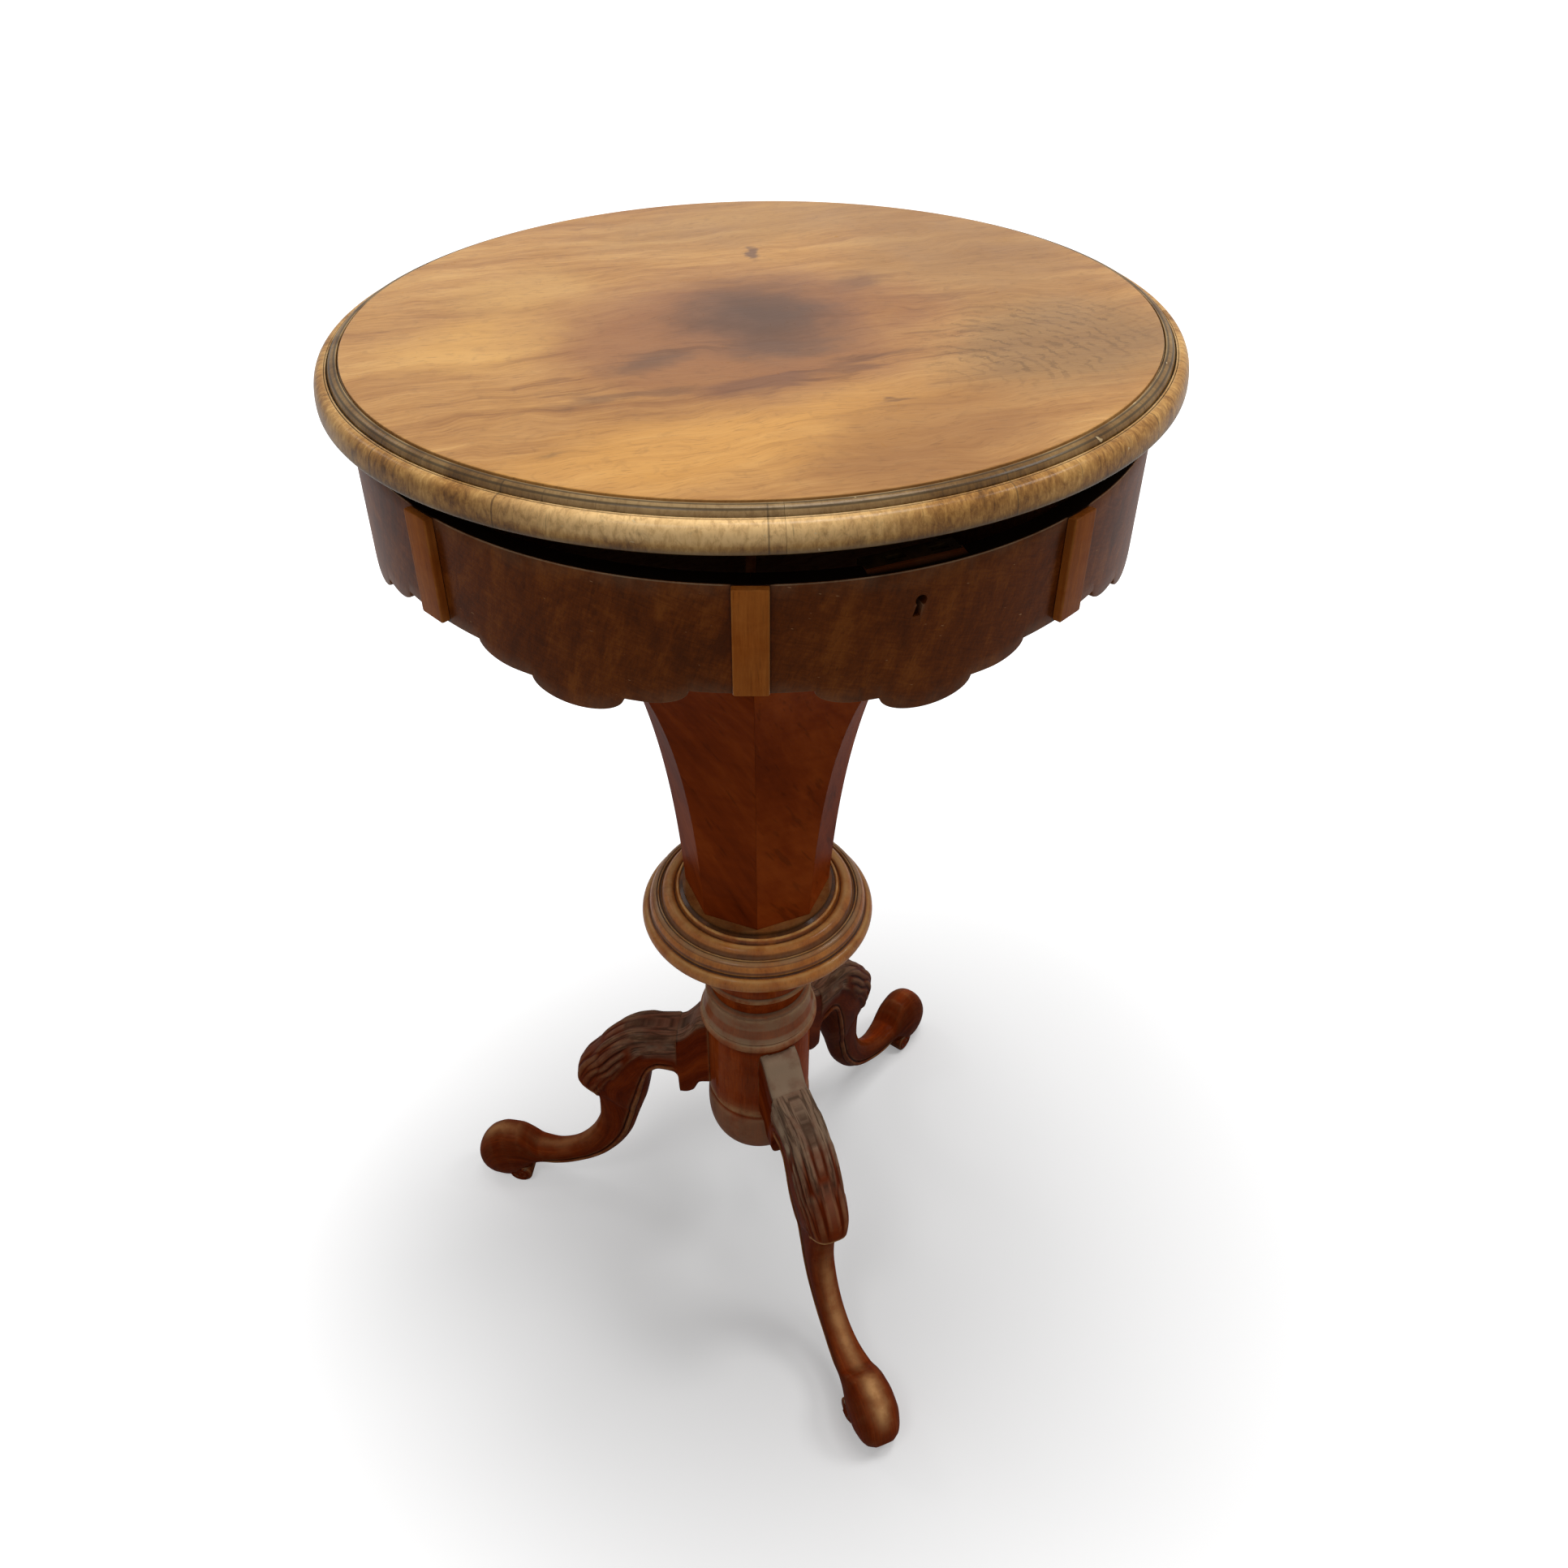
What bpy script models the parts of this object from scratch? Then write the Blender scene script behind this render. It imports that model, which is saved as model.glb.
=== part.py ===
"""Trumpet work table: hinged round lid, scalloped drum, octagonal flared stem and cabriole tripod.

Everything is in metres with +Z up. The front, with the keyhole and one leg, faces -Y. The origin is on the
floor under the middle of the table's outline, so the turned axis stands a little behind it.
"""

from math import asin, cos, exp, pi, radians, sin, sqrt

import bmesh
import bpy

# Clearance between pieces that touch, and how far a cutter runs past the face it cuts
CLEAR = 0.0003
PAST = 0.005

# Counts
SIDES = 8                 # panels, pilasters, staves and compartments round the table
LEG_COUNT = 3
TURN_STEPS = 32           # facets round a turned piece
RIM_STEPS = 6             # facets along one length of lid moulding
CURVE_STEPS = 5           # facets along one curve of the scalloped edge
SHOULDER_STEPS = 2        # facets along its straight shoulder
STAVE_LEVELS = 14         # levels up one flared stave
LEG_RING = 12             # points round one leg section
SCROLL_STEPS = 14         # facets round a toe's scroll
KEYHOLE_STEPS = 16        # facets round the keyhole's head
BORE_STEPS = 12           # facets round a hinge pin, its bore and its knuckles

# Drum with its apron panels and pilasters
DRUM_RADIUS = 0.1995
DRUM_WALL = 0.010
TRAY_DEPTH = 0.0431       # top of the tray floor to the top of the drum
SHOULDER_DEPTH = 0.0541   # top of the drum to the scallop's high shoulders
HOLLOW_DROP = 0.0085      # shoulder to the small step beside the lobe
LOBE_DROP = 0.0095        # small step to the lowest point of the lobe
HOLLOW_SPAN = radians(6.0)
STEP_SPAN = radians(2.4)
LOBE_SPAN = radians(6.4)
PILASTER_WIDTH = 0.0156
PILASTER_PROUD = 0.0041
PILASTER_LENGTH = 0.0524

# Lid
LID_OVERHANG = 0.0130
LID_THICKNESS = 0.0175
LID_GAP = 0.0004          # closed lid above the drum
RIM_WIDTH = 0.0133
RIM_QUIRK = 0.0009        # width of the groove beside the board, and of the one beside the nose
RIM_SINK = 0.0007         # board's top to the moulding's
OVOLO_WIDTH = 0.0047
OVOLO_DROP = 0.0035
NOSE_RISE = 0.0026        # height at which the nose starts to turn under
NOSE_UNDER = 0.0022       # how far it turns under
RIM_JOINT = radians(-18.6)
LINING_MARGIN = 0.0135    # drum's inner wall to the lining's edge
LINING_THICKNESS = 0.0012
LID_AJAR = radians(2.82)

# Hinges at the back
HINGE_OFFSET = 0.0030     # drum's outer wall to the pin's centre
HINGE_CENTRE = 0.028      # middle of each hinge from the table's middle plane
HINGE_LENGTH = 0.028
LEAF_REACH = 0.0133
LEAF_THICKNESS = 0.0012
KNUCKLE_RADIUS = 0.0026
PIN_RADIUS = 0.0011
PIN_CLEAR = 0.00025

# Box lock at the front
LOCK_WIDTH = 0.044
LOCK_HEIGHT = 0.028
LOCK_DEPTH = 0.009
LOCK_LET_IN = 0.0017      # how far the case is sunk into the panel
LOCK_X = -0.0065          # keyhole from the front panel's middle
LOCK_WALL = 0.0023
BOLT_TRAVEL = 0.005
BOLT_THICKNESS = 0.003
BOLT_HEIGHT = 0.010
BOLT_BAR = 0.0035
BOLT_POST = 0.0025        # width of the post that carries a finger
HOOK_SPACING = 0.020
HOOK_WIDTH = 0.0030
HOOK_NOSE = 0.0045
HOOK_LENGTH = 0.0085
HOOK_CENTRE = 0.00325     # middle of the two hooks from the middle of the lock
STRIKE_THICKNESS = 0.0016
KEYHOLE_RADIUS = 0.0026
KEYHOLE_SLOT = 0.0024
KEYHOLE_HEIGHT = 0.0100
KEYHOLE_DEPTH = 0.0155    # top of the drum to the round head's centre
HOOK_TIP = 0.0020         # height of a hook's nose
FINGER_HEIGHT = 0.0022    # height of a bolt finger's point
BOLT_PLAY = 0.0010        # finger to hook while the lock is open
SLOT_PLAY = 0.0005        # hook to the end of its slot

# Tray and well
FLOOR_THICKNESS = 0.008
WELL_RADIUS = 0.078
WELL_WALL = 0.006
DIVIDER_THICKNESS = 0.004
DIVIDER_HEIGHT = 0.0397
WELL_FLOOR_THICKNESS = 0.012

# Octagonal trumpet stem
STEM_HEIGHT = 0.3071
STEM_FOOT_RADIUS = 0.0483
STEM_TOP_RADIUS = 0.180
FLARE_LENGTH = 0.092      # height in which the flare grows e-fold
STAVE_THICKNESS = 0.009

# Turned collar, column and drop
COLLAR_RADIUS = 0.0785
SEAT_MARGIN = 0.0020      # stem's corners to the edge of its seat
COLLAR_HEIGHT = 0.034
TENON_RADIUS = 0.014
TENON_LENGTH = 0.024
BOWL_RADIUS = 0.066
BOWL_HEIGHT = 0.0445
NECK_RADIUS = 0.0345
NECK_HEIGHT = 0.0235
RING_RADIUS = 0.0428
RING_HEIGHT = 0.034
RING_GAP = 0.001          # leg's top to the ring over it
PILLAR_RADIUS = 0.0383
PILLAR_LENGTH = 0.0775
DROP_HEIGHT = 0.057
DOWEL_RADIUS = 0.010
DOWEL_LENGTH = 0.018

# Cabriole legs
LEG_TOP = 0.235
TOE_REACH = 0.240
LEG_WIDTH = 0.030
TONGUE_DEPTH = 0.014
TONGUE_LAP = 0.003        # how far the tongue runs into the leg
TONGUE_DROP = 0.012       # leg's top to the tongue's top
TONGUE_NECK = 0.012
TONGUE_ROOT = 0.018
SCROLL_RADIUS = 0.0085
SCROLL_SHARE = 0.835      # share of the leg's reach
SCROLL_WIDTH = 0.029
# One section of a leg: crest and sole as shares of the reach and of the height,
# then the width as a share of the leg's width, and how square the section is.
LEG_SECTIONS = (
    (-0.040, 1.000, -0.040, 0.680, 1.00, 7.0),
    (0.028, 0.972, 0.028, 0.672, 1.00, 7.0),
    (0.058, 0.938, 0.058, 0.626, 1.00, 7.0),
    (0.092, 0.905, 0.092, 0.613, 1.00, 7.0),
    (0.107, 0.899, 0.107, 0.613, 1.00, 7.0),
    (0.111, 0.898, 0.111, 0.690, 1.00, 7.0),
    (0.132, 0.896, 0.130, 0.713, 1.00, 6.0),
    (0.190, 0.891, 0.178, 0.717, 1.00, 5.0),
    (0.262, 0.880, 0.210, 0.698, 1.02, 4.0),
    (0.322, 0.852, 0.224, 0.666, 1.04, 3.6),
    (0.390, 0.797, 0.233, 0.620, 1.04, 3.4),
    (0.445, 0.734, 0.240, 0.582, 1.02, 3.4),
    (0.486, 0.692, 0.249, 0.544, 0.98, 3.4),
    (0.514, 0.641, 0.260, 0.511, 0.92, 3.4),
    (0.520, 0.601, 0.270, 0.484, 0.86, 3.4),
    (0.504, 0.577, 0.277, 0.463, 0.80, 3.2),
    (0.465, 0.552, 0.285, 0.441, 0.74, 3.0),
    (0.449, 0.488, 0.300, 0.397, 0.70, 2.8),
    (0.453, 0.402, 0.323, 0.331, 0.66, 2.6),
    (0.482, 0.317, 0.362, 0.262, 0.64, 2.6),
    (0.542, 0.240, 0.424, 0.192, 0.62, 2.6),
    (0.612, 0.196, 0.514, 0.138, 0.62, 2.6),
    (0.686, 0.180, 0.608, 0.110, 0.66, 2.5),
    (0.742, 0.186, 0.690, 0.100, 0.76, 2.4),
    (0.784, 0.210, 0.748, 0.082, 0.90, 2.4),
    (0.825, 0.232, 0.788, 0.040, 1.04, 2.3),
    (0.878, 0.234, 0.828, 0.002, 1.14, 2.3),
    (0.930, 0.212, 0.868, -0.006, 1.14, 2.3),
    (0.972, 0.170, 0.910, -0.006, 1.02, 2.2),
    (0.994, 0.124, 0.946, 0.008, 0.80, 2.2),
    (1.000, 0.088, 0.972, 0.034, 0.46, 2.2),
)

# Heights, stacked from the floor up
RING_FOOT = LEG_TOP + RING_GAP
PILLAR_FOOT = RING_FOOT - PILLAR_LENGTH
NECK_FOOT = RING_FOOT + RING_HEIGHT
BOWL_FOOT = NECK_FOOT + NECK_HEIGHT
COLUMN_TOP = BOWL_FOOT + BOWL_HEIGHT
COLLAR_FOOT = COLUMN_TOP + CLEAR
STEM_SEAT = COLLAR_FOOT + COLLAR_HEIGHT
STEM_FOOT = STEM_SEAT + CLEAR
STEM_TOP = STEM_FOOT + STEM_HEIGHT
FLOOR_FOOT = STEM_TOP + CLEAR
FLOOR_TOP = FLOOR_FOOT + FLOOR_THICKNESS
DRUM_TOP = FLOOR_TOP + TRAY_DEPTH
LID_FOOT = DRUM_TOP + LID_GAP
LID_TOP = LID_FOOT + LID_THICKNESS

# Places worked out from the sizes above
HALF_STEP = pi / SIDES
LID_RADIUS = DRUM_RADIUS + LID_OVERHANG
DRUM_INNER = DRUM_RADIUS - DRUM_WALL
BOARD_RADIUS = LID_RADIUS - RIM_WIDTH
HINGE_Y = DRUM_RADIUS + HINGE_OFFSET
HINGE_Z = DRUM_TOP + LID_GAP / 2
LOCK_BACK = -(DRUM_INNER + LOCK_LET_IN)
BOLT_Y = LOCK_BACK + LOCK_WALL + CLEAR + BOLT_THICKNESS / 2
LOCK_SPOT = (LOCK_X, 0.0, 0.0)
AXIS_Y = (TOE_REACH - LID_RADIUS) / 2


def clear_scene():
    """Remove whatever the file already holds."""
    for old in list(bpy.data.objects):
        bpy.data.objects.remove(old, do_unlink=True)


def finish(name, colour, roughness, metallic=0.0):
    """Make one material with a plain Principled BSDF."""
    material = bpy.data.materials.new(name)
    material.use_nodes = True
    shader = material.node_tree.nodes["Principled BSDF"]
    shader.inputs["Base Color"].default_value = (*colour, 1.0)
    shader.inputs["Roughness"].default_value = roughness
    shader.inputs["Metallic"].default_value = metallic
    return material


def empty(name, location=(0.0, 0.0, 0.0), parent=None):
    """Add an empty that other objects hang on."""
    holder = bpy.data.objects.new(name, None)
    holder.location = location
    holder.parent = parent
    bpy.context.collection.objects.link(holder)
    return holder


def shaded(name, bm):
    """Turn a bmesh into a mesh that faces out, smooth but for its sharp arrises."""
    bmesh.ops.recalc_face_normals(bm, faces=bm.faces)
    mesh = bpy.data.meshes.new(name)
    bm.to_mesh(mesh)
    bm.free()
    mesh.shade_smooth()
    mesh.set_sharp_from_angle(angle=radians(35))
    return mesh


def place(name, mesh, material, parent, location=(0.0, 0.0, 0.0), turn=0.0):
    """Put a mesh into the scene as a named piece of the table."""
    piece = bpy.data.objects.new(name, mesh)
    if not mesh.materials:
        mesh.materials.append(material)
    piece.parent = parent
    piece.location = location
    piece.rotation_euler.z = turn
    bpy.context.collection.objects.link(piece)
    return piece


def hide(tool):
    """Mark a cutter or a shape that another piece takes in."""
    tool.hide_render = True
    tool.display_type = "WIRE"
    return tool


def boolean(piece, tool, operation):
    """Cut a tool out of a piece, or join it on."""
    step = piece.modifiers.new(operation.lower(), "BOOLEAN")
    step.operation = operation
    step.solver = "EXACT"
    step.object = tool


def loft(name, loops):
    """Bridge equal closed loops of points with a skin, and close both ends."""
    bm = bmesh.new()
    rings = [[bm.verts.new(point) for point in loop] for loop in loops]
    for low, high in zip(rings, rings[1:]):
        for i, vert in enumerate(low):
            j = (i + 1) % len(low)
            bm.faces.new((vert, low[j], high[j], high[i]))
    bm.faces.new(rings[0])
    bm.faces.new(rings[-1])
    return shaded(name, bm)


def prism_x(name, outline, low, high):
    """Extrude a (y, z) outline along X."""
    return loft(name, [[(x, y, z) for y, z in outline] for x in (low, high)])


def prism_y(name, outline, low, high):
    """Extrude an (x, z) outline along Y."""
    return loft(name, [[(x, y, z) for x, z in outline] for y in (low, high)])


def prism_z(name, outline, low, high):
    """Extrude an (x, y) outline along Z."""
    return loft(name, [[(x, y, z) for x, y in outline] for z in (low, high)])


def block(name, low, high):
    """A plain block between two corners."""
    corners = ((low[0], low[1]), (high[0], low[1]), (high[0], high[1]), (low[0], high[1]))
    return prism_z(name, corners, low[2], high[2])


def polygon(radius, count, start=0.0):
    """Points of a regular polygon, by its corner radius."""
    angles = [start + 2 * pi * i / count for i in range(count)]
    return [(radius * cos(a), radius * sin(a)) for a in angles]


def turned(name, profile, ring=False):
    """Spin an (r, z) profile round Z; a ring's profile closes on itself, any other starts and ends on Z."""
    bm = bmesh.new()
    verts = [bm.verts.new((r, 0.0, z)) for r, z in profile]
    pairs = list(zip(verts, verts[1:]))
    if ring:
        pairs.append((verts[-1], verts[0]))
    edges = [bm.edges.new(pair) for pair in pairs]
    bmesh.ops.spin(bm, geom=verts + edges, cent=(0, 0, 0), axis=(0, 0, 1), angle=2 * pi, steps=TURN_STEPS)
    bmesh.ops.remove_doubles(bm, verts=bm.verts, dist=1e-6)
    return shaded(name, bm)


def bend(start, control, end, steps=4):
    """Points of a quadratic curve, both ends included."""
    points = []
    for i in range(steps + 1):
        t = i / steps
        points.append(tuple((1 - t) ** 2 * a + 2 * t * (1 - t) * b + t * t * c
                            for a, b, c in zip(start, control, end)))
    return points


def bead(radius, high, low, swell, steps=4):
    """A round bead that swells out of a turned face between two heights."""
    middle = (high + low) / 2
    half = (high - low) / 2
    angles = [pi / 2 - pi * i / steps for i in range(steps + 1)]
    return [(radius + swell * cos(a), middle + half * sin(a)) for a in angles]


def front_ray(radius, angle, z):
    """A point at an angle from the front, counted towards +X."""
    return (radius * sin(angle), -radius * cos(angle), z)


def edge_height(angle):
    """Height of the apron's lower edge at an angle from its panel's middle."""
    shoulder = DRUM_TOP - SHOULDER_DEPTH
    step = shoulder - HOLLOW_DROP
    off = abs(angle)
    if off < LOBE_SPAN:
        return step - LOBE_DROP * sqrt(1 - (off / LOBE_SPAN) ** 2)
    if off < LOBE_SPAN + STEP_SPAN:
        return step
    share = (off - LOBE_SPAN - STEP_SPAN) / HOLLOW_SPAN
    if share < 1:
        return step + HOLLOW_DROP * (1 - sqrt(1 - share ** 2))
    return shoulder


def apron_angles():
    """Angles of one panel's columns, closer where the scalloped edge is steep."""
    end = HALF_STEP - CLEAR / 2 / DRUM_INNER
    step = LOBE_SPAN + STEP_SPAN
    rise = step + HOLLOW_SPAN
    curve = [sin(pi / 2 * i / CURVE_STEPS) for i in range(CURVE_STEPS)]
    half = [LOBE_SPAN * share for share in curve] + [LOBE_SPAN]
    half += [step + HOLLOW_SPAN * share for share in curve]
    half += [rise + (end - rise) * i / SHOULDER_STEPS for i in range(SHOULDER_STEPS)] + [end]
    return [-a for a in reversed(half[1:])] + half


def apron_mesh():
    """One bowed panel with a flat top and a scalloped lower edge."""
    loops = []
    for angle in apron_angles():
        low = edge_height(angle)
        loops.append([front_ray(DRUM_RADIUS, angle, low), front_ray(DRUM_RADIUS, angle, DRUM_TOP),
                      front_ray(DRUM_INNER, angle, DRUM_TOP), front_ray(DRUM_INNER, angle, low)])
    return loft("apron_panel", loops)


def pilaster_mesh():
    """A flat-faced strip whose back fits the drum's wall."""
    back = DRUM_RADIUS + CLEAR
    half = PILASTER_WIDTH / 2
    spread = [half * share for share in (1.0, 0.5, 0.0, -0.5, -1.0)]
    outline = [(x, -sqrt(back ** 2 - x ** 2)) for x in spread]
    front = -(DRUM_RADIUS + PILASTER_PROUD)
    outline += [(-half, front), (half, front)]
    return prism_z("pilaster", outline, DRUM_TOP - PILASTER_LENGTH, DRUM_TOP)


def flare(height):
    """Corner radius of the octagonal stem at a height above its foot, and its slope there."""
    growth = (STEM_TOP_RADIUS - STEM_FOOT_RADIUS) / (exp(STEM_HEIGHT / FLARE_LENGTH) - 1)
    rise = exp(height / FLARE_LENGTH)
    return STEM_FOOT_RADIUS + growth * (rise - 1), growth * rise / FLARE_LENGTH


def stave_mesh():
    """One mitred stave of the stem, flat across and curved along its length."""
    loops = []
    for i in range(STAVE_LEVELS + 1):
        height = STEM_HEIGHT * i / STAVE_LEVELS
        outer, slope = flare(height)
        inner = outer - STAVE_THICKNESS * sqrt(1 + slope ** 2)
        loop = []
        for radius, side in ((outer, -1), (outer, 1), (inner, 1), (inner, -1)):
            half = radius * sin(HALF_STEP) - CLEAR / 2
            loop.append((side * half, -radius * cos(HALF_STEP), STEM_FOOT + height))
        loops.append(loop)
    return loft("trumpet_stave", loops)


def rim_profile():
    """Section of the lid's moulding: quirk, sloping ovolo, second quirk and a broad rounded nose."""
    inner = BOARD_RADIUS
    high = LID_TOP - RIM_SINK
    start = inner + RIM_QUIRK
    end = start + OVOLO_WIDTH
    low = high - OVOLO_DROP
    ovolo = bend((start, high), (end - RIM_QUIRK, high), (end, low))
    nose = bend((end + RIM_QUIRK, low), (LID_RADIUS, low), (LID_RADIUS, LID_FOOT + NOSE_RISE), 6)
    groove = [(end, low - RIM_QUIRK), (end + RIM_QUIRK / 2, low - RIM_QUIRK)]
    under = [(LID_RADIUS - NOSE_UNDER, LID_FOOT), (inner, LID_FOOT)]
    return [(inner, high - RIM_QUIRK)] + ovolo + groove + nose + under


def rim_mesh(index):
    """One length of the moulding round the lid."""
    trim = CLEAR / 2 / BOARD_RADIUS
    first = RIM_JOINT + index * 2 * HALF_STEP
    loops = []
    for i in range(RIM_STEPS + 1):
        angle = first + 2 * HALF_STEP * i / RIM_STEPS
        angle += trim if i == 0 else -trim if i == RIM_STEPS else 0.0
        loops.append([front_ray(r, angle, z) for r, z in rim_profile()])
    return loft("lid_rim", loops)


def board_mesh():
    """The lid's round board, with corners in line with those of the moulding."""
    count = SIDES * RIM_STEPS
    radius = BOARD_RADIUS - CLEAR
    angles = [RIM_JOINT + 2 * pi * i / count for i in range(count)]
    levels = ((radius, LID_FOOT), (radius, LID_TOP - CLEAR), (radius - CLEAR, LID_TOP))
    return loft("lid_panel", [[front_ray(r, a, z) for a in angles] for r, z in levels])


def scaled(shares, radii, heights):
    """Turn (share, share) points into radii and heights between two limits each."""
    wide = radii[1] - radii[0]
    tall = heights[1] - heights[0]
    return [(radii[0] + wide * r, heights[0] + tall * z) for r, z in shares]


def collar_profile():
    """Turned collar: seat for the stem, lip, torus, sloping band and lower bead."""
    shares = [(0.000, 1.000), (0.000, 0.924)]
    shares += bend((0.082, 0.894), (0.124, 0.941), (0.160, 0.876), 3)
    shares += bend((0.206, 0.818), (0.390, 0.965), (0.532, 0.729), 5)
    shares += [(0.567, 0.712), (0.596, 0.741)]
    shares += bend((0.645, 0.729), (0.787, 0.694), (0.823, 0.512), 4)
    shares += bead(0.830, 0.453, 0.129, 0.170, 5)
    shares += [(0.681, 0.088), (0.610, 0.000)]
    bore = TENON_RADIUS + CLEAR
    outside = scaled(shares, (STEM_FOOT_RADIUS + SEAT_MARGIN, COLLAR_RADIUS), (COLLAR_FOOT, STEM_SEAT))
    return [(bore, STEM_SEAT)] + outside + [(bore, COLLAR_FOOT)]


def column_profile():
    """Turned column from its tenon down: bowl, bead, waisted neck, ring and plain pillar."""
    bowl = [(1.000, 1.000), (1.000, 0.910)] + bend((0.905, 0.888), (0.190, 0.775), (0.159, 0.000), 6)
    neck = bead(0.127, 0.957, 0.745, 0.070) + bend((0.102, 0.702), (-0.019, 0.255), (0.000, 0.085), 3)
    ring = [(0.301, 1.030), (0.301, 0.941)] + bend((0.422, 0.924), (0.518, 0.441), (0.783, 0.282), 4)
    ring += bead(0.687, 0.253, 0.029, 0.313)
    tenon = COLUMN_TOP + TENON_LENGTH
    socket = PILLAR_FOOT + DOWEL_LENGTH + CLEAR
    points = [(0.0, tenon), (TENON_RADIUS, tenon), (TENON_RADIUS, COLUMN_TOP)]
    points += scaled(bowl, (NECK_RADIUS, BOWL_RADIUS), (BOWL_FOOT, COLUMN_TOP))
    points += scaled(neck, (NECK_RADIUS, BOWL_RADIUS), (NECK_FOOT, BOWL_FOOT))
    points += scaled(ring, (NECK_RADIUS, RING_RADIUS), (RING_FOOT, NECK_FOOT))
    points += [(PILLAR_RADIUS, RING_FOOT), (PILLAR_RADIUS, PILLAR_FOOT), (DOWEL_RADIUS + CLEAR, PILLAR_FOOT)]
    return points + [(DOWEL_RADIUS + CLEAR, socket), (0.0, socket)]


def drop_profile():
    """Turned drop under the pillar, with a dowel that enters it."""
    top = PILLAR_FOOT - CLEAR
    shares = [(0.979, 1.000), (0.969, 0.930)] + bend((1.005, 0.895), (1.104, 0.175), (0.600, 0.070), 7)
    shares += bend((0.500, 0.042), (0.360, 0.000), (0.200, 0.000), 3) + [(0.000, 0.000)]
    dowel = [(0.0, top + DOWEL_LENGTH), (DOWEL_RADIUS, top + DOWEL_LENGTH), (DOWEL_RADIUS, top)]
    return dowel + scaled(shares, (0.0, PILLAR_RADIUS), (top - DROP_HEIGHT, top))


def leg_mesh():
    """One cabriole leg as a loft from its root block over the knee to the toe, flat where it stands."""
    reach = TOE_REACH - PILLAR_RADIUS
    loops = []
    for crest_r, crest_z, sole_r, sole_z, width, square in LEG_SECTIONS:
        crest = (PILLAR_RADIUS + reach * crest_r, LEG_TOP * crest_z)
        sole = (PILLAR_RADIUS + reach * sole_r, LEG_TOP * sole_z)
        middle = [(a + b) / 2 for a, b in zip(crest, sole)]
        half = [(a - b) / 2 for a, b in zip(crest, sole)]
        loop = []
        for i in range(LEG_RING):
            angle = 2 * pi * (i + 0.5) / LEG_RING
            rise = rounded(cos(angle), square)
            side = rounded(sin(angle), square)
            radius = middle[0] + half[0] * rise
            loop.append((side * width * LEG_WIDTH / 2, -radius, middle[1] + half[1] * rise))
        loops.append(loop)
    return flat_foot(loft("leg", loops))


def rounded(value, square):
    """A sine or cosine pushed outwards, so that a circle becomes a rounded square."""
    return (1 if value > 0 else -1) * abs(value) ** (2 / square)


def flat_foot(mesh):
    """Cut a mesh off flat at the floor."""
    bm = bmesh.new()
    bm.from_mesh(mesh)
    geom = bm.verts[:] + bm.edges[:] + bm.faces[:]
    bmesh.ops.bisect_plane(bm, geom=geom, plane_co=(0, 0, 0), plane_no=(0, 0, -1), clear_outer=True)
    bmesh.ops.holes_fill(bm, edges=[e for e in bm.edges if e.is_boundary])
    return shaded(mesh.name, bm)


def tongue_outline(gap=0.0):
    """Plan of a leg's dovetail tongue, or of its housing with a gap all round."""
    face = PILLAR_RADIUS + TONGUE_LAP
    inner = PILLAR_RADIUS - TONGUE_DEPTH - gap
    flank = (TONGUE_ROOT - TONGUE_NECK) / 2 / (TONGUE_DEPTH + TONGUE_LAP)
    neck = TONGUE_NECK / 2 + gap * sqrt(1 + flank ** 2)
    root = neck + flank * (face - inner)
    return [(-root, -inner), (-neck, -face), (neck, -face), (root, -inner)]


def build_legs(axis, wood):
    """Three legs, their tongues, and the housings for them; gives back the housing cutters."""
    mesh = leg_mesh()
    top = LEG_TOP - TONGUE_DROP
    tongue = prism_z("leg_tongue", tongue_outline(), PILLAR_FOOT, top)
    housing = prism_z("leg_housing", tongue_outline(CLEAR), PILLAR_FOOT - PAST, top + CLEAR)
    scroll_r = PILLAR_RADIUS + (TOE_REACH - PILLAR_RADIUS) * SCROLL_SHARE
    circle = [(y - scroll_r, z + SCROLL_RADIUS) for y, z in polygon(SCROLL_RADIUS - CLEAR, SCROLL_STEPS)]
    scroll = prism_x("toe_scroll", circle, -SCROLL_WIDTH / 2, SCROLL_WIDTH / 2)
    saddle_mesh = prism_z("pillar_saddle", polygon(PILLAR_RADIUS + CLEAR, TURN_STEPS), 0.0, LEG_TOP + PAST)
    saddle = hide(place("pillar_saddle", saddle_mesh, wood, axis))
    cutters = []
    for index, name in enumerate(("leg_front", "leg_right", "leg_left")):
        turn = 2 * pi * index / LEG_COUNT
        leg = place(name, mesh, wood, axis, turn=turn)
        boolean(leg, saddle, "DIFFERENCE")
        boolean(leg, hide(place(name + "_tongue", tongue, wood, axis, turn=turn)), "UNION")
        boolean(leg, hide(place(name + "_scroll", scroll, wood, axis, turn=turn)), "UNION")
        cutters.append(hide(place(name + "_housing", housing, wood, axis, turn=turn)))
    return cutters


def build_column(axis, woods, housings):
    """Collar, column with its dovetail housings, and drop."""
    place("stem_collar", turned("stem_collar", collar_profile(), ring=True), woods["collar"], axis)
    column = place("column", turned("column", column_profile()), woods["column"], axis)
    for housing in housings:
        boolean(column, housing, "DIFFERENCE")
    place("drop_finial", turned("drop_finial", drop_profile()), woods["drop"], axis)


def build_stem(axis, woods):
    """Eight staves and the block that closes the well at their foot."""
    stave = stave_mesh()
    for index in range(SIDES):
        place(f"trumpet_stave_{index + 1}", stave, woods["stave"], axis, turn=2 * HALF_STEP * index)
    radius = STEM_FOOT_RADIUS - STAVE_THICKNESS - CLEAR / cos(HALF_STEP)
    outline = polygon(radius, SIDES, HALF_STEP)
    low = STEM_SEAT + CLEAR
    place("well_floor", prism_z("well_floor", outline, low, low + WELL_FLOOR_THICKNESS), woods["floor"], axis)


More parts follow.
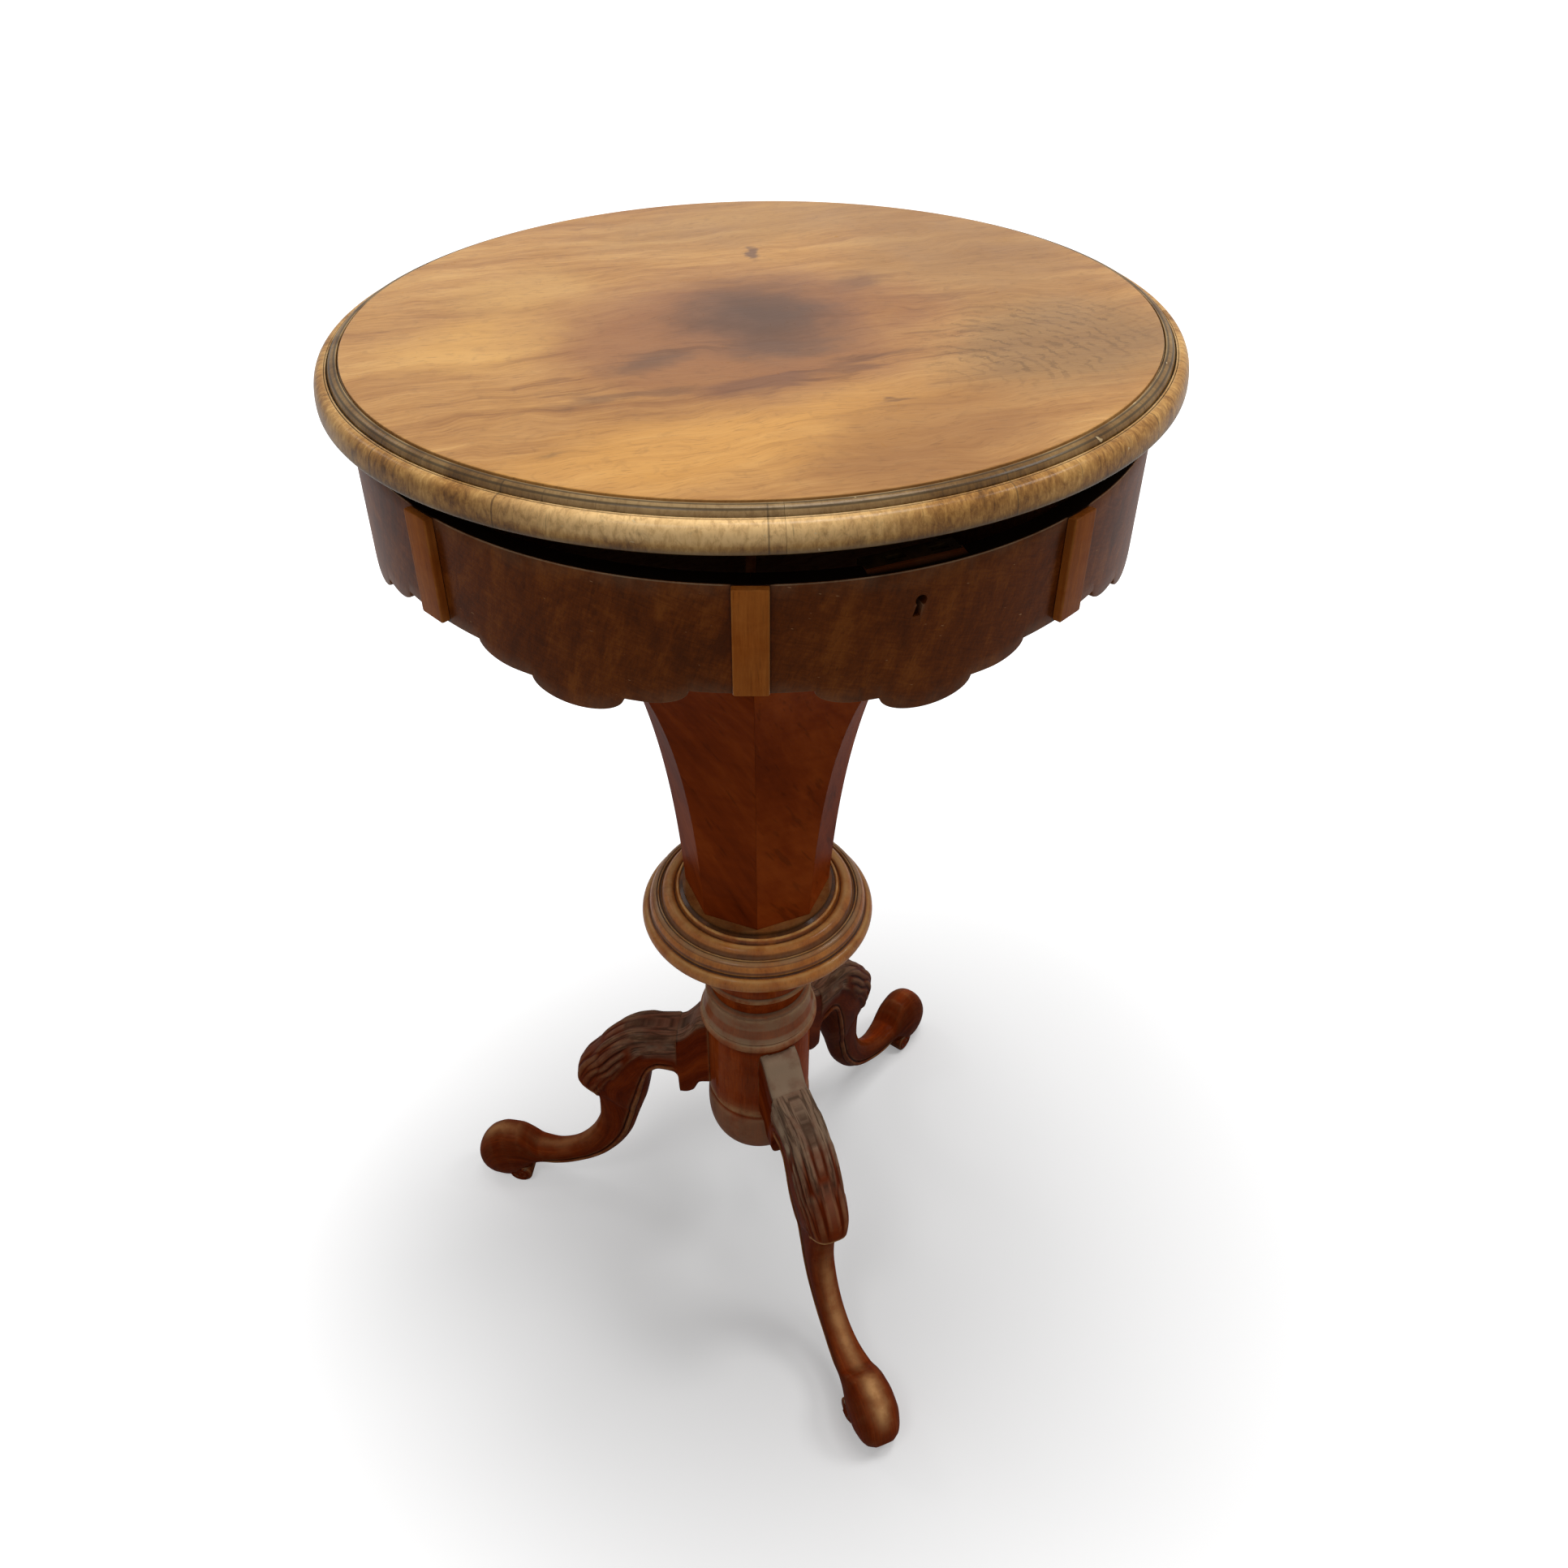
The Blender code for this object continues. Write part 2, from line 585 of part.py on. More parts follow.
def build_tray(axis, woods):
    """Tray floor with the well's mouth, the frame round the mouth and the dividers."""
    rim = polygon(DRUM_INNER - CLEAR, 8 * SIDES)
    floor = place("tray_floor", prism_z("tray_floor", rim, FLOOR_FOOT, FLOOR_TOP), woods["tray"], axis)
    mouth = polygon(WELL_RADIUS, SIDES, HALF_STEP)
    low = FLOOR_TOP + CLEAR
    high = low + DIVIDER_HEIGHT
    mouth_mesh = prism_z("well_mouth", mouth, FLOOR_FOOT - PAST, high + PAST)
    hole = hide(place("well_mouth", mouth_mesh, woods["tray"], axis))
    boolean(floor, hole, "DIFFERENCE")
    outer = WELL_RADIUS + WELL_WALL
    frame_mesh = prism_z("well_frame", polygon(outer, SIDES, HALF_STEP), low, high)
    frame = place("well_frame", frame_mesh, woods["frame"], axis)
    boolean(frame, hole, "DIFFERENCE")
    half = DIVIDER_THICKNESS / 2
    end = sqrt((DRUM_INNER - CLEAR) ** 2 - half ** 2)
    divider = block("tray_divider", (-half, -end, low), (half, -(outer + CLEAR), high))
    for index in range(SIDES):
        turn = 2 * HALF_STEP * index + HALF_STEP
        place(f"tray_divider_{index + 1}", divider, woods["divider"], axis, turn=turn)


def build_drum(axis, woods, lock_cutters, leaf_recesses):
    """Apron panels and the pilasters over their joints."""
    panel_mesh = apron_mesh()
    strip = pilaster_mesh()
    for index in range(SIDES):
        turn = 2 * HALF_STEP * index
        panel = place(f"apron_panel_{index + 1}", panel_mesh, woods["apron"], axis, turn=turn)
        if index == 0:
            for cutter in lock_cutters:
                boolean(panel, cutter, "DIFFERENCE")
        if index == SIDES // 2:
            for cutter in leaf_recesses:
                boolean(panel, cutter, "DIFFERENCE")
        place(f"pilaster_{index + 1}", strip, woods["pilaster"], axis, turn=turn + HALF_STEP)


def keyhole_cutters(axis, brass):
    """Round head and slot of the keyhole, through the panel and into the lock."""
    top = DRUM_TOP - KEYHOLE_DEPTH
    outer = -(DRUM_RADIUS + PAST)
    inner = LOCK_BACK + LOCK_WALL / 2
    head = [(x, top + z) for x, z in polygon(KEYHOLE_RADIUS, KEYHOLE_STEPS)]
    low = top + KEYHOLE_RADIUS - KEYHOLE_HEIGHT
    half = KEYHOLE_SLOT / 2
    slot = block("keyhole_slot", (-half, outer - CLEAR, low), (half, inner + CLEAR, top))
    head_mesh = prism_y("keyhole_head", head, outer, inner)
    return [hide(place("keyhole_head", head_mesh, brass, axis, LOCK_SPOT)),
            hide(place("keyhole_slot", slot, brass, axis, LOCK_SPOT))]


def hook_places():
    """Left end of each hook's nose, the two hooks from left to right."""
    first = HOOK_CENTRE - HOOK_SPACING / 2 - (HOOK_NOSE + HOOK_WIDTH) / 2
    return (first, first + HOOK_SPACING)


def bolt_outline():
    """Front view of the bolt: a bar with two fingers that point to its right."""
    first, second = (x - BOLT_PLAY for x in hook_places())
    top = BOLT_HEIGHT
    under = top - FINGER_HEIGHT
    left, right = (x - BOLT_TRAVEL - BOLT_POST for x in (first, second))
    inner, end = (left + BOLT_POST, right + BOLT_POST)
    return [(left, 0.0), (end, 0.0), (end, under), (second, under), (second, top), (right, top),
            (right, BOLT_BAR), (inner, BOLT_BAR), (inner, under), (first, under), (first, top), (left, top)]


def build_lock(axis, brass):
    """Lock case with its channel and slots, and the sliding bolt; gives back the panel's cutters."""
    half = LOCK_WIDTH / 2
    front = LOCK_BACK + LOCK_DEPTH
    case_mesh = block("lock_case", (-half, LOCK_BACK, DRUM_TOP - LOCK_HEIGHT), (half, front, DRUM_TOP))
    case = place("lock_case", case_mesh, brass, axis, LOCK_SPOT)
    low_y = BOLT_Y - BOLT_THICKNESS / 2 - CLEAR
    high_y = BOLT_Y + BOLT_THICKNESS / 2 + CLEAR
    roof = DRUM_TOP - LOCK_WALL
    floor = roof - BOLT_HEIGHT - 2 * CLEAR
    hooks = hook_places()
    left = hooks[0] - BOLT_PLAY - BOLT_TRAVEL - BOLT_POST - 2 * CLEAR
    right = hooks[1] + HOOK_NOSE + HOOK_WIDTH + BOLT_PLAY
    channel = block("bolt_channel", (left, low_y, floor), (right, high_y, roof))
    boolean(case, hide(place("bolt_channel", channel, brass, axis, LOCK_SPOT)), "DIFFERENCE")
    inset = CLEAR / 6
    for index, hook in enumerate(hooks):
        end = hook + HOOK_NOSE + HOOK_WIDTH + SLOT_PLAY
        slot = block("hook_slot", (hook - SLOT_PLAY, low_y + inset, roof - BOLT_PLAY),
                     (end, high_y - inset, DRUM_TOP + PAST))
        boolean(case, hide(place(f"hook_slot_{index + 1}", slot, brass, axis, LOCK_SPOT)), "DIFFERENCE")
    keyhole = keyhole_cutters(axis, brass)
    for cutter in keyhole:
        boolean(case, cutter, "DIFFERENCE")
    bolt = prism_y("lock_bolt", bolt_outline(), -BOLT_THICKNESS / 2, BOLT_THICKNESS / 2)
    place("lock_bolt", bolt, brass, axis, location=(LOCK_X, BOLT_Y, floor + CLEAR))
    pocket = block("lock_pocket", (-half - CLEAR, LOCK_BACK - CLEAR, DRUM_TOP - LOCK_HEIGHT - CLEAR),
                   (half + CLEAR, front, DRUM_TOP + PAST))
    return keyhole + [hide(place("lock_pocket", pocket, brass, axis, LOCK_SPOT))]


def build_strike(lid, home, brass):
    """Strike plate under the lid with two hooks; gives back the recess for the plate."""
    spot = (home[0] + LOCK_X, home[1], home[2])
    half = LOCK_WIDTH / 2
    low, high = (BOLT_Y - LOCK_DEPTH / 2, BOLT_Y + LOCK_DEPTH / 2)
    plate = block("lock_strike", (-half, low, LID_FOOT), (half, high, LID_FOOT + STRIKE_THICKNESS))
    strike = place("lock_strike", plate, brass, lid, spot)
    tip = LID_FOOT - HOOK_LENGTH
    top = LID_FOOT + STRIKE_THICKNESS / 2
    for index, nose in enumerate(hook_places()):
        shank = nose + HOOK_NOSE
        end = shank + HOOK_WIDTH
        barb = tip + HOOK_TIP
        outline = [(nose, tip), (end, tip), (end, top), (shank, top), (shank, barb), (nose, barb)]
        hook = prism_y("strike_hook", outline, BOLT_Y - BOLT_THICKNESS / 2, BOLT_Y + BOLT_THICKNESS / 2)
        boolean(strike, hide(place(f"strike_hook_{index + 1}", hook, brass, lid, spot)), "UNION")
    recess = block("strike_recess", (-half - CLEAR, low - CLEAR, LID_FOOT - PAST),
                   (half + CLEAR, high + CLEAR, LID_FOOT + STRIKE_THICKNESS + CLEAR))
    return hide(place("strike_recess", recess, brass, lid, spot))


def knuckle_outline(up):
    """Side view of a hinge knuckle with the tongue that runs into its leaf; up is 1 on the lid, -1 below."""
    inner = LID_GAP / 2
    outer = inner + LEAF_THICKNESS
    start = pi - asin(outer / KNUCKLE_RADIUS)
    end = asin(inner / KNUCKLE_RADIUS) - pi
    angles = [start + (end - start) * i / BORE_STEPS for i in range(BORE_STEPS + 1)]
    arc = [(KNUCKLE_RADIUS * cos(a), up * KNUCKLE_RADIUS * sin(a)) for a in angles]
    arc[-1] = (arc[-1][0], up * inner)
    tail = -(KNUCKLE_RADIUS + LEAF_THICKNESS)
    return arc + [(tail, up * inner), (tail, up * outer)]


def build_hinges(axis, lid, brass):
    """Two butt hinges: a leaf on the drum, a leaf on the lid, and a pin.

    Gives back the recesses in the drum, in the lid's board and in its moulding.
    """
    third = HINGE_LENGTH / 3
    near = -(KNUCKLE_RADIUS + CLEAR)
    inner, outer = (LID_GAP / 2, LID_GAP / 2 + LEAF_THICKNESS)
    recesses = {"drum": [], "lid": []}
    for side, middle in (("left", -HINGE_CENTRE), ("right", HINGE_CENTRE)):
        start, end = (middle - HINGE_LENGTH / 2, middle + HINGE_LENGTH / 2)
        spot = (0.0, HINGE_Y, HINGE_Z)
        bore = polygon(PIN_RADIUS + PIN_CLEAR, BORE_STEPS)
        spans = {"drum": ((start, start + third - CLEAR / 2), (end - third + CLEAR / 2, end)),
                 "lid": ((start + third + CLEAR / 2, end - third - CLEAR / 2),)}
        for body, parent, up, offset in (("drum", axis, -1, spot), ("lid", lid, 1, (0.0, 0.0, 0.0))):
            plate = [(-LEAF_REACH, up * inner), (near, up * inner),
                     (near, up * outer), (-LEAF_REACH, up * outer)]
            name = f"hinge_{body}_leaf_{side}"
            leaf = place(name, prism_x(name, plate, start, end), brass, parent, offset)
            for number, (low, high) in enumerate(spans[body]):
                knuckle = prism_x("knuckle", knuckle_outline(up), low, high)
                tool = hide(place(f"{name}_knuckle_{number + 1}", knuckle, brass, parent, offset))
                boolean(leaf, tool, "UNION")
            hole = prism_x("pin_bore", bore, start - PAST, end + PAST)
            boolean(leaf, hide(place(f"{name}_bore", hole, brass, parent, offset)), "DIFFERENCE")
            far = -LEAF_REACH - CLEAR
            room = KNUCKLE_RADIUS + 2 * CLEAR
            bed = [(far, -up * PAST), (room, -up * PAST), (room, up * room), (near - 3 * CLEAR, up * room),
                   (near - 3 * CLEAR, up * (outer + CLEAR)), (far, up * (outer + CLEAR))]
            recess = prism_x("leaf_recess", bed, start - CLEAR, end + CLEAR)
            recesses[body].append(hide(place(f"{name}_recess", recess, brass, parent, offset)))
        pin = prism_x("hinge_pin", polygon(PIN_RADIUS, BORE_STEPS), start, end)
        place(f"hinge_pin_{side}", pin, brass, axis, spot)
    return recesses


def build_lid(lid, home, woods, recesses, strike_recess):
    """Board, lengths of moulding and paper lining, all turning with the lid."""
    board = place("lid_panel", board_mesh(), woods["board"], lid, home)
    boolean(board, strike_recess, "DIFFERENCE")
    for recess in recesses:
        boolean(board, recess, "DIFFERENCE")
    spread = asin((HINGE_CENTRE + HINGE_LENGTH) / BOARD_RADIUS)
    for index in range(SIDES):
        length = place(f"lid_rim_{index + 1}", rim_mesh(index), woods["rim"], lid, home)
        first = RIM_JOINT + 2 * HALF_STEP * index
        if first < pi + spread and first + 2 * HALF_STEP > pi - spread:
            for recess in recesses:
                boolean(length, recess, "DIFFERENCE")
    high = LID_FOOT - CLEAR
    edge = polygon(DRUM_INNER - LINING_MARGIN, 8 * SIDES)
    sheet = prism_z("lid_lining", edge, high - LINING_THICKNESS, high)
    place("lid_lining", sheet, woods["lining"], lid, home)


def main():
    """Build the whole table on its turned axis."""
    clear_scene()
    woods = {
        "board": finish("figured_walnut_top", (0.42, 0.22, 0.09), 0.35),
        "rim": finish("cross_grain_walnut", (0.20, 0.11, 0.05), 0.40),
        "lining": finish("lining_paper", (0.55, 0.44, 0.36), 0.90),
        "apron": finish("dark_walnut", (0.055, 0.022, 0.010), 0.40),
        "pilaster": finish("pale_walnut", (0.20, 0.075, 0.022), 0.40),
        "stave": finish("red_walnut", (0.11, 0.030, 0.010), 0.38),
        "floor": finish("well_paper", (0.42, 0.32, 0.26), 0.90),
        "tray": finish("tray_paper", (0.50, 0.40, 0.33), 0.90),
        "frame": finish("frame_paper", (0.46, 0.37, 0.31), 0.90),
        "divider": finish("divider_paper", (0.48, 0.38, 0.32), 0.90),
        "collar": finish("golden_turned_walnut", (0.22, 0.095, 0.035), 0.35),
        "column": finish("turned_walnut", (0.15, 0.045, 0.012), 0.35),
        "drop": finish("dusty_turned_walnut", (0.12, 0.050, 0.020), 0.40),
    }
    leg_wood = finish("carved_walnut", (0.085, 0.025, 0.010), 0.35)
    brass = finish("old_brass", (0.42, 0.28, 0.10), 0.40, 1.0)

    axis = empty("table_axis", (0.0, AXIS_Y, 0.0))
    lid = empty("lid_hinge", (0.0, HINGE_Y, HINGE_Z), axis)
    lid.rotation_euler.x = -LID_AJAR
    home = (0.0, -HINGE_Y, -HINGE_Z)

    housings = build_legs(axis, leg_wood)
    build_column(axis, woods, housings)
    build_stem(axis, woods)
    build_tray(axis, woods)
    lock_cutters = build_lock(axis, brass)
    strike_recess = build_strike(lid, home, brass)
    recesses = build_hinges(axis, lid, brass)
    build_drum(axis, woods, lock_cutters, recesses["drum"])
    build_lid(lid, home, woods, recesses["lid"], strike_recess)


main()
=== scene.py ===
"""Looks of a walnut trumpet work table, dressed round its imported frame.

Lid, drum, trumpet stem, turnings and carved legs get finer meshes than the frame's solids, at the same
places. Lock, hinges and the paper-lined tray keep the frame's own shapes and get their finishes here.
All in metres.
"""

import logging
from dataclasses import dataclass, field
from enum import Enum
from math import asin, cos, pi, radians, sin, sqrt

import bmesh
import bpy
import numpy as np
from mathutils import Matrix, Vector


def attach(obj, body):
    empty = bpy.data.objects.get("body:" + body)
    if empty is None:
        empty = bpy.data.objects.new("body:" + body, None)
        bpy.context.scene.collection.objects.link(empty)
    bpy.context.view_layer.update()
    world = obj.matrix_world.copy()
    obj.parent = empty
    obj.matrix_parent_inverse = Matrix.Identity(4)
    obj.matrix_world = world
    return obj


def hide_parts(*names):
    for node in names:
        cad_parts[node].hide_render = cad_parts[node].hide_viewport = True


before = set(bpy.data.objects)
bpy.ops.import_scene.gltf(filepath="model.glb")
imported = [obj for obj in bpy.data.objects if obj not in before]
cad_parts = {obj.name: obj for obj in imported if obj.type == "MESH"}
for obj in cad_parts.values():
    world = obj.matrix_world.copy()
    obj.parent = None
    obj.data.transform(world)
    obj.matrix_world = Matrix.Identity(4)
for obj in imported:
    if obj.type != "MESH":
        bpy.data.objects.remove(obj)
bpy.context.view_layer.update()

log = logging.getLogger("work_table")

Socket = bpy.types.NodeSocket
Object = bpy.types.Object
Mesh = bpy.types.Mesh
Array = np.ndarray
Value = float | tuple | Socket
Pair = tuple[float, float]
Triple = tuple[float, float, float]
Table = tuple[tuple[float, ...], ...]
Colour = Triple  # red, green and blue from 0 to 255, as a screen shows them
Profile = list[Pair]  # radii and heights of a section, or a plan
Tools = list[tuple]  # skins, each with the way it is used

IMAGE_SIDE = 1932  # pixels of the square photograph


class Body(Enum):
    """The bodies of the frame that new pieces ride on."""

    TABLE = "table"
    LID = "lid"


class Grain(Enum):
    """Where a wood finish takes its grain direction from."""

    UPRIGHT = "object Z"
    FLOW = "flow attribute"


class Carve(Enum):
    """What a tool does to the piece it meets."""

    CUT = "DIFFERENCE"
    JOIN = "UNION"


@dataclass(frozen=True)
class Layout:
    """Sizes and heights that several sub-assemblies share."""

    sides: int = 8
    clear: float = 0.0003
    past: float = 0.005
    axis_y: float = 0.01375
    drum_radius: float = 0.1995
    drum_inner: float = 0.1895
    drum_top: float = 0.7311
    board_radius: float = 0.1988
    lid_radius: float = 0.2120
    lid_foot: float = 0.7315
    lid_top: float = 0.7490
    hinge_y: float = 0.2025
    hinge_z: float = 0.7313
    ajar: float = radians(2.82)
    stem_foot: float = 0.3726
    stem_height: float = 0.3071
    stem_foot_radius: float = 0.0483
    stem_top_radius: float = 0.180
    collar_foot: float = 0.3383
    stem_seat: float = 0.3723
    pillar_radius: float = 0.0383
    pillar_foot: float = 0.1585
    leg_top: float = 0.235

    @property
    def half_step(self) -> float:
        """Half the angle that one of the eight sides takes."""
        return pi / self.sides

    def table_place(self, turn: float = 0.0) -> Matrix:
        """Matrix that takes a mesh made round the axis to the frame, turned from the front towards +X."""
        return Matrix.Translation((0.0, self.axis_y, 0.0)) @ Matrix.Rotation(turn, 4, "Z")

    def lid_place(self) -> Matrix:
        """Matrix from a closed lid round the axis to the lid as it stands ajar."""
        pin = Matrix.Translation((0.0, self.hinge_y, self.hinge_z))
        return self.table_place() @ pin @ Matrix.Rotation(-self.ajar, 4, "X") @ pin.inverted()


LAYOUT = Layout()


def linear(colour: Colour) -> tuple[float, float, float, float]:
    """Turn a written colour into linear light.

    Args:
        colour: the written colour.

    Returns:
        Linear red, green, blue and a full alpha.
    """
    shares = [part / 255 for part in colour]
    lit = [s / 12.92 if s <= 0.04045 else ((s + 0.055) / 1.055) ** 2.4 for s in shares]
    return (lit[0], lit[1], lit[2], 1.0)


class Graph:
    """Adds nodes to a shader or geometry tree with short calls."""

    def __init__(self, tree: bpy.types.NodeTree) -> None:
        """Keep the tree that the nodes go to."""
        self.tree = tree

    def add(self, kind: str, inputs: dict | None = None, **settings: str) -> bpy.types.Node:
        """Add one node.

        Args:
            kind: Blender's name for the node.
            inputs: values or links for its sockets, by name or number.
            settings: properties of the node.

        Returns:
            The new node.
        """
        node = self.tree.nodes.new(kind)
        for key, value in settings.items():
            setattr(node, key, value)
        for key, value in (inputs or {}).items():
            self.feed(node.inputs[key], value)
        return node

    def out(self, kind: str, inputs: dict | None = None, **settings: str) -> Socket:
        """Add one node and take its first output."""
        return self.add(kind, inputs, **settings).outputs[0]

    def feed(self, socket: Socket, value: Value) -> None:
        """Link a socket to another, or set its own value.

        Args:
            socket: the socket.
            value: the link or the value.
        """
        if isinstance(value, Socket):
            self.tree.links.new(value, socket)
        else:
            socket.default_value = value

    def math(self, operation: str, *values: Value) -> Socket:
        """Do one sum on numbers."""
        return self.out("ShaderNodeMath", dict(enumerate(values)), operation=operation)

    def times(self, first: Value, second: Value) -> Socket:
        """Multiply two numbers."""
        return self.math("MULTIPLY", first, second)

    def vector(self, operation: str, *values: Value) -> Socket:
        """Do one sum on vectors."""
        return self.out("ShaderNodeVectorMath", dict(enumerate(values)), operation=operation)

    def combine(self, x: Value, y: Value, z: Value) -> Socket:
        """Make a vector of three numbers."""
        return self.out("ShaderNodeCombineXYZ", {0: x, 1: y, 2: z})

    def length(self, vector: Value) -> Socket:
        """Measure a vector."""
        return self.add("ShaderNodeVectorMath", {0: vector}, operation="LENGTH").outputs["Value"]

    def split(self, vector: Value) -> list[Socket]:
        """Take a vector apart."""
        return list(self.add("ShaderNodeSeparateXYZ", {0: vector}).outputs)

    def smooth(self, value: Value, low: float, high: float, start: float = 0.0, end: float = 1.0) -> Socket:
        """Ease a number, from start where it is at low to end where it is at high."""
        inputs = {"Value": value, "From Min": low, "From Max": high, "To Min": start, "To Max": end}
        return self.out("ShaderNodeMapRange", inputs, interpolation_type="SMOOTHSTEP")


class Paint(Graph):
    """Node tree of one finish, with the calls that wood, paper and metal need."""

    def __init__(self, name: str) -> None:
        """Start a material.

        Args:
            name: name of the material.
        """
        self.material = bpy.data.materials.new(name)
        self.material.use_nodes = True
        super().__init__(self.material.node_tree)
        self.shader = self.tree.nodes["Principled BSDF"]
        self.place = self.add("ShaderNodeTexCoord").outputs["Object"]

    def mark(self, name: str) -> Socket:
        """Read a number that the piece carries at each point."""
        return self.add("ShaderNodeAttribute", attribute_name=name).outputs["Fac"]

    def flow(self) -> Socket:
        """Read the piece's own surface coordinates."""
        return self.add("ShaderNodeAttribute", attribute_name="flow").outputs["Vector"]

    def mapped(self, vector: Value, scale: tuple, shift: tuple = (0.0, 0.0, 0.0),
               turn: tuple = (0.0, 0.0, 0.0)) -> Socket:
        """Scale coordinates, turn them by Euler angles and shift them."""
        inputs = {"Vector": vector, "Location": shift, "Rotation": turn, "Scale": scale}
        return self.out("ShaderNodeMapping", inputs)

    def noise(self, vector: Value, scale: tuple, detail: float = 4.0, roughness: float = 0.55,
              distortion: float = 0.0, shift: tuple = (0.0, 0.0, 0.0)) -> Socket:
        """Read noise that is stretched by a scale along each axis.

        Args:
            vector: the coordinates.
            scale: features per metre along each axis.
            detail: octaves of finer noise.
            roughness: how strong the finer octaves are.
            distortion: how far the noise swirls.
            shift: start of the pattern.

        Returns:
            A number around 0.5.
        """
        inputs = {"Vector": self.mapped(vector, scale, shift), "Scale": 1.0, "Detail": detail,
                  "Roughness": roughness, "Distortion": distortion}
        return self.out("ShaderNodeTexNoise", inputs)

    def blend(self, *parts: tuple[float, Socket]) -> Socket:
        """Add numbers up.

        Args:
            parts: weights, each with its number.

        Returns:
            The sum.
        """
        total = self.times(parts[0][1], parts[0][0])
        for weight, value in parts[1:]:
            total = self.math("MULTIPLY_ADD", value, weight, total)
        return total

    def ramp(self, value: Value, stops: list[tuple[float, Colour]]) -> Socket:
        """Read a colour off a row of stops.

        Args:
            value: place on the row.
            stops: place and colour of each stop.

        Returns:
            The colour.
        """
        node = self.add("ShaderNodeValToRGB", {0: value})
        band = node.color_ramp.elements
        while len(band) < len(stops):
            band.new(0.5)
        for element, (place, colour) in zip(band, stops):
            element.position = place
            element.color = linear(colour)
        return node.outputs[0]

    def mix(self, share: Value, first: Value, second: Value, kind: str = "MIX") -> Socket:
        """Lay a second colour over a first.

        Args:
            share: how much of the second shows.
            first: link to the colour below.
            second: link to the colour above, or a written colour.
            kind: Blender's blend type.

        Returns:
            The mixed colour.
        """
        over = second if isinstance(second, Socket) else linear(second)
        inputs = {0: share, 6: first, 7: over}
        return self.add("ShaderNodeMix", inputs, data_type="RGBA", blend_type=kind).outputs[2]

    def spot(self, vector: Value, centre: Pair, radii: Pair,
             turn: float = 0.0, core: float = 0.0) -> Socket:
        """A soft oval patch seen from above.

        Args:
            vector: the coordinates.
            centre: its middle in X and Y.
            radii: its half axes.
            turn: angle of its first axis.
            core: share of the oval that is full.

        Returns:
            1 in the middle, 0 outside.
        """
        moved = self.mapped(vector, (1.0, 1.0, 0.0), (-centre[0], -centre[1], 0.0))
        turned = self.mapped(moved, (1.0, 1.0, 0.0), turn=(0.0, 0.0, -turn))
        sized = self.mapped(turned, (1 / radii[0], 1 / radii[1], 0.0))
        return self.smooth(self.length(sized), 1.0, core)

    def line(self, value: Value, at: float, width: float) -> Socket:
        """A thin line where a number passes a value."""
        off = self.math("ABSOLUTE", self.math("SUBTRACT", value, at))
        return self.smooth(off, width, width / 3)

    def surface(self, colour: Value, roughness: Value, relief: Socket, depth: float, shine: float = 0.5,
                wax: float = 0.0, haze: float = 0.0, film: float = 1.5) -> None:
        """Join the finish to its shader.

        Args:
            colour: link to the base colour.
            roughness: link to the roughness.
            relief: link to the height that bumps the surface.
            depth: height of a full bump.
            shine: specular level of the bare surface.
            wax: share of the surface that a film of wax covers.
            haze: roughness of the wax.
            film: refractive index of the wax.
        """
        bump = self.out("ShaderNodeBump", {"Distance": depth, "Height": relief})
        self.feed(self.shader.inputs["Base Color"], colour)
        self.feed(self.shader.inputs["Roughness"], roughness)
        self.feed(self.shader.inputs["Normal"], bump)
        self.shader.inputs["Specular IOR Level"].default_value = shine
        if wax:
            self.shader.inputs["Coat Weight"].default_value = wax
            self.shader.inputs["Coat IOR"].default_value = film
            self.shader.inputs["Coat Roughness"].default_value = haze


class Finish:
    """A finish that makes its material once and shares it."""

    name: str
    made: dict[str, bpy.types.Material] = {}

    def paint(self, p: Paint) -> None:
        """Draw the finish into a fresh node tree."""
        raise NotImplementedError

    def material(self) -> bpy.types.Material:
        """Make the material at the first call.

        Returns:
            The finish as a material.
        """
        if self.name not in Finish.made:
            p = Paint(self.name)
            self.paint(p)
            Finish.made[self.name] = p.material
        return Finish.made[self.name]


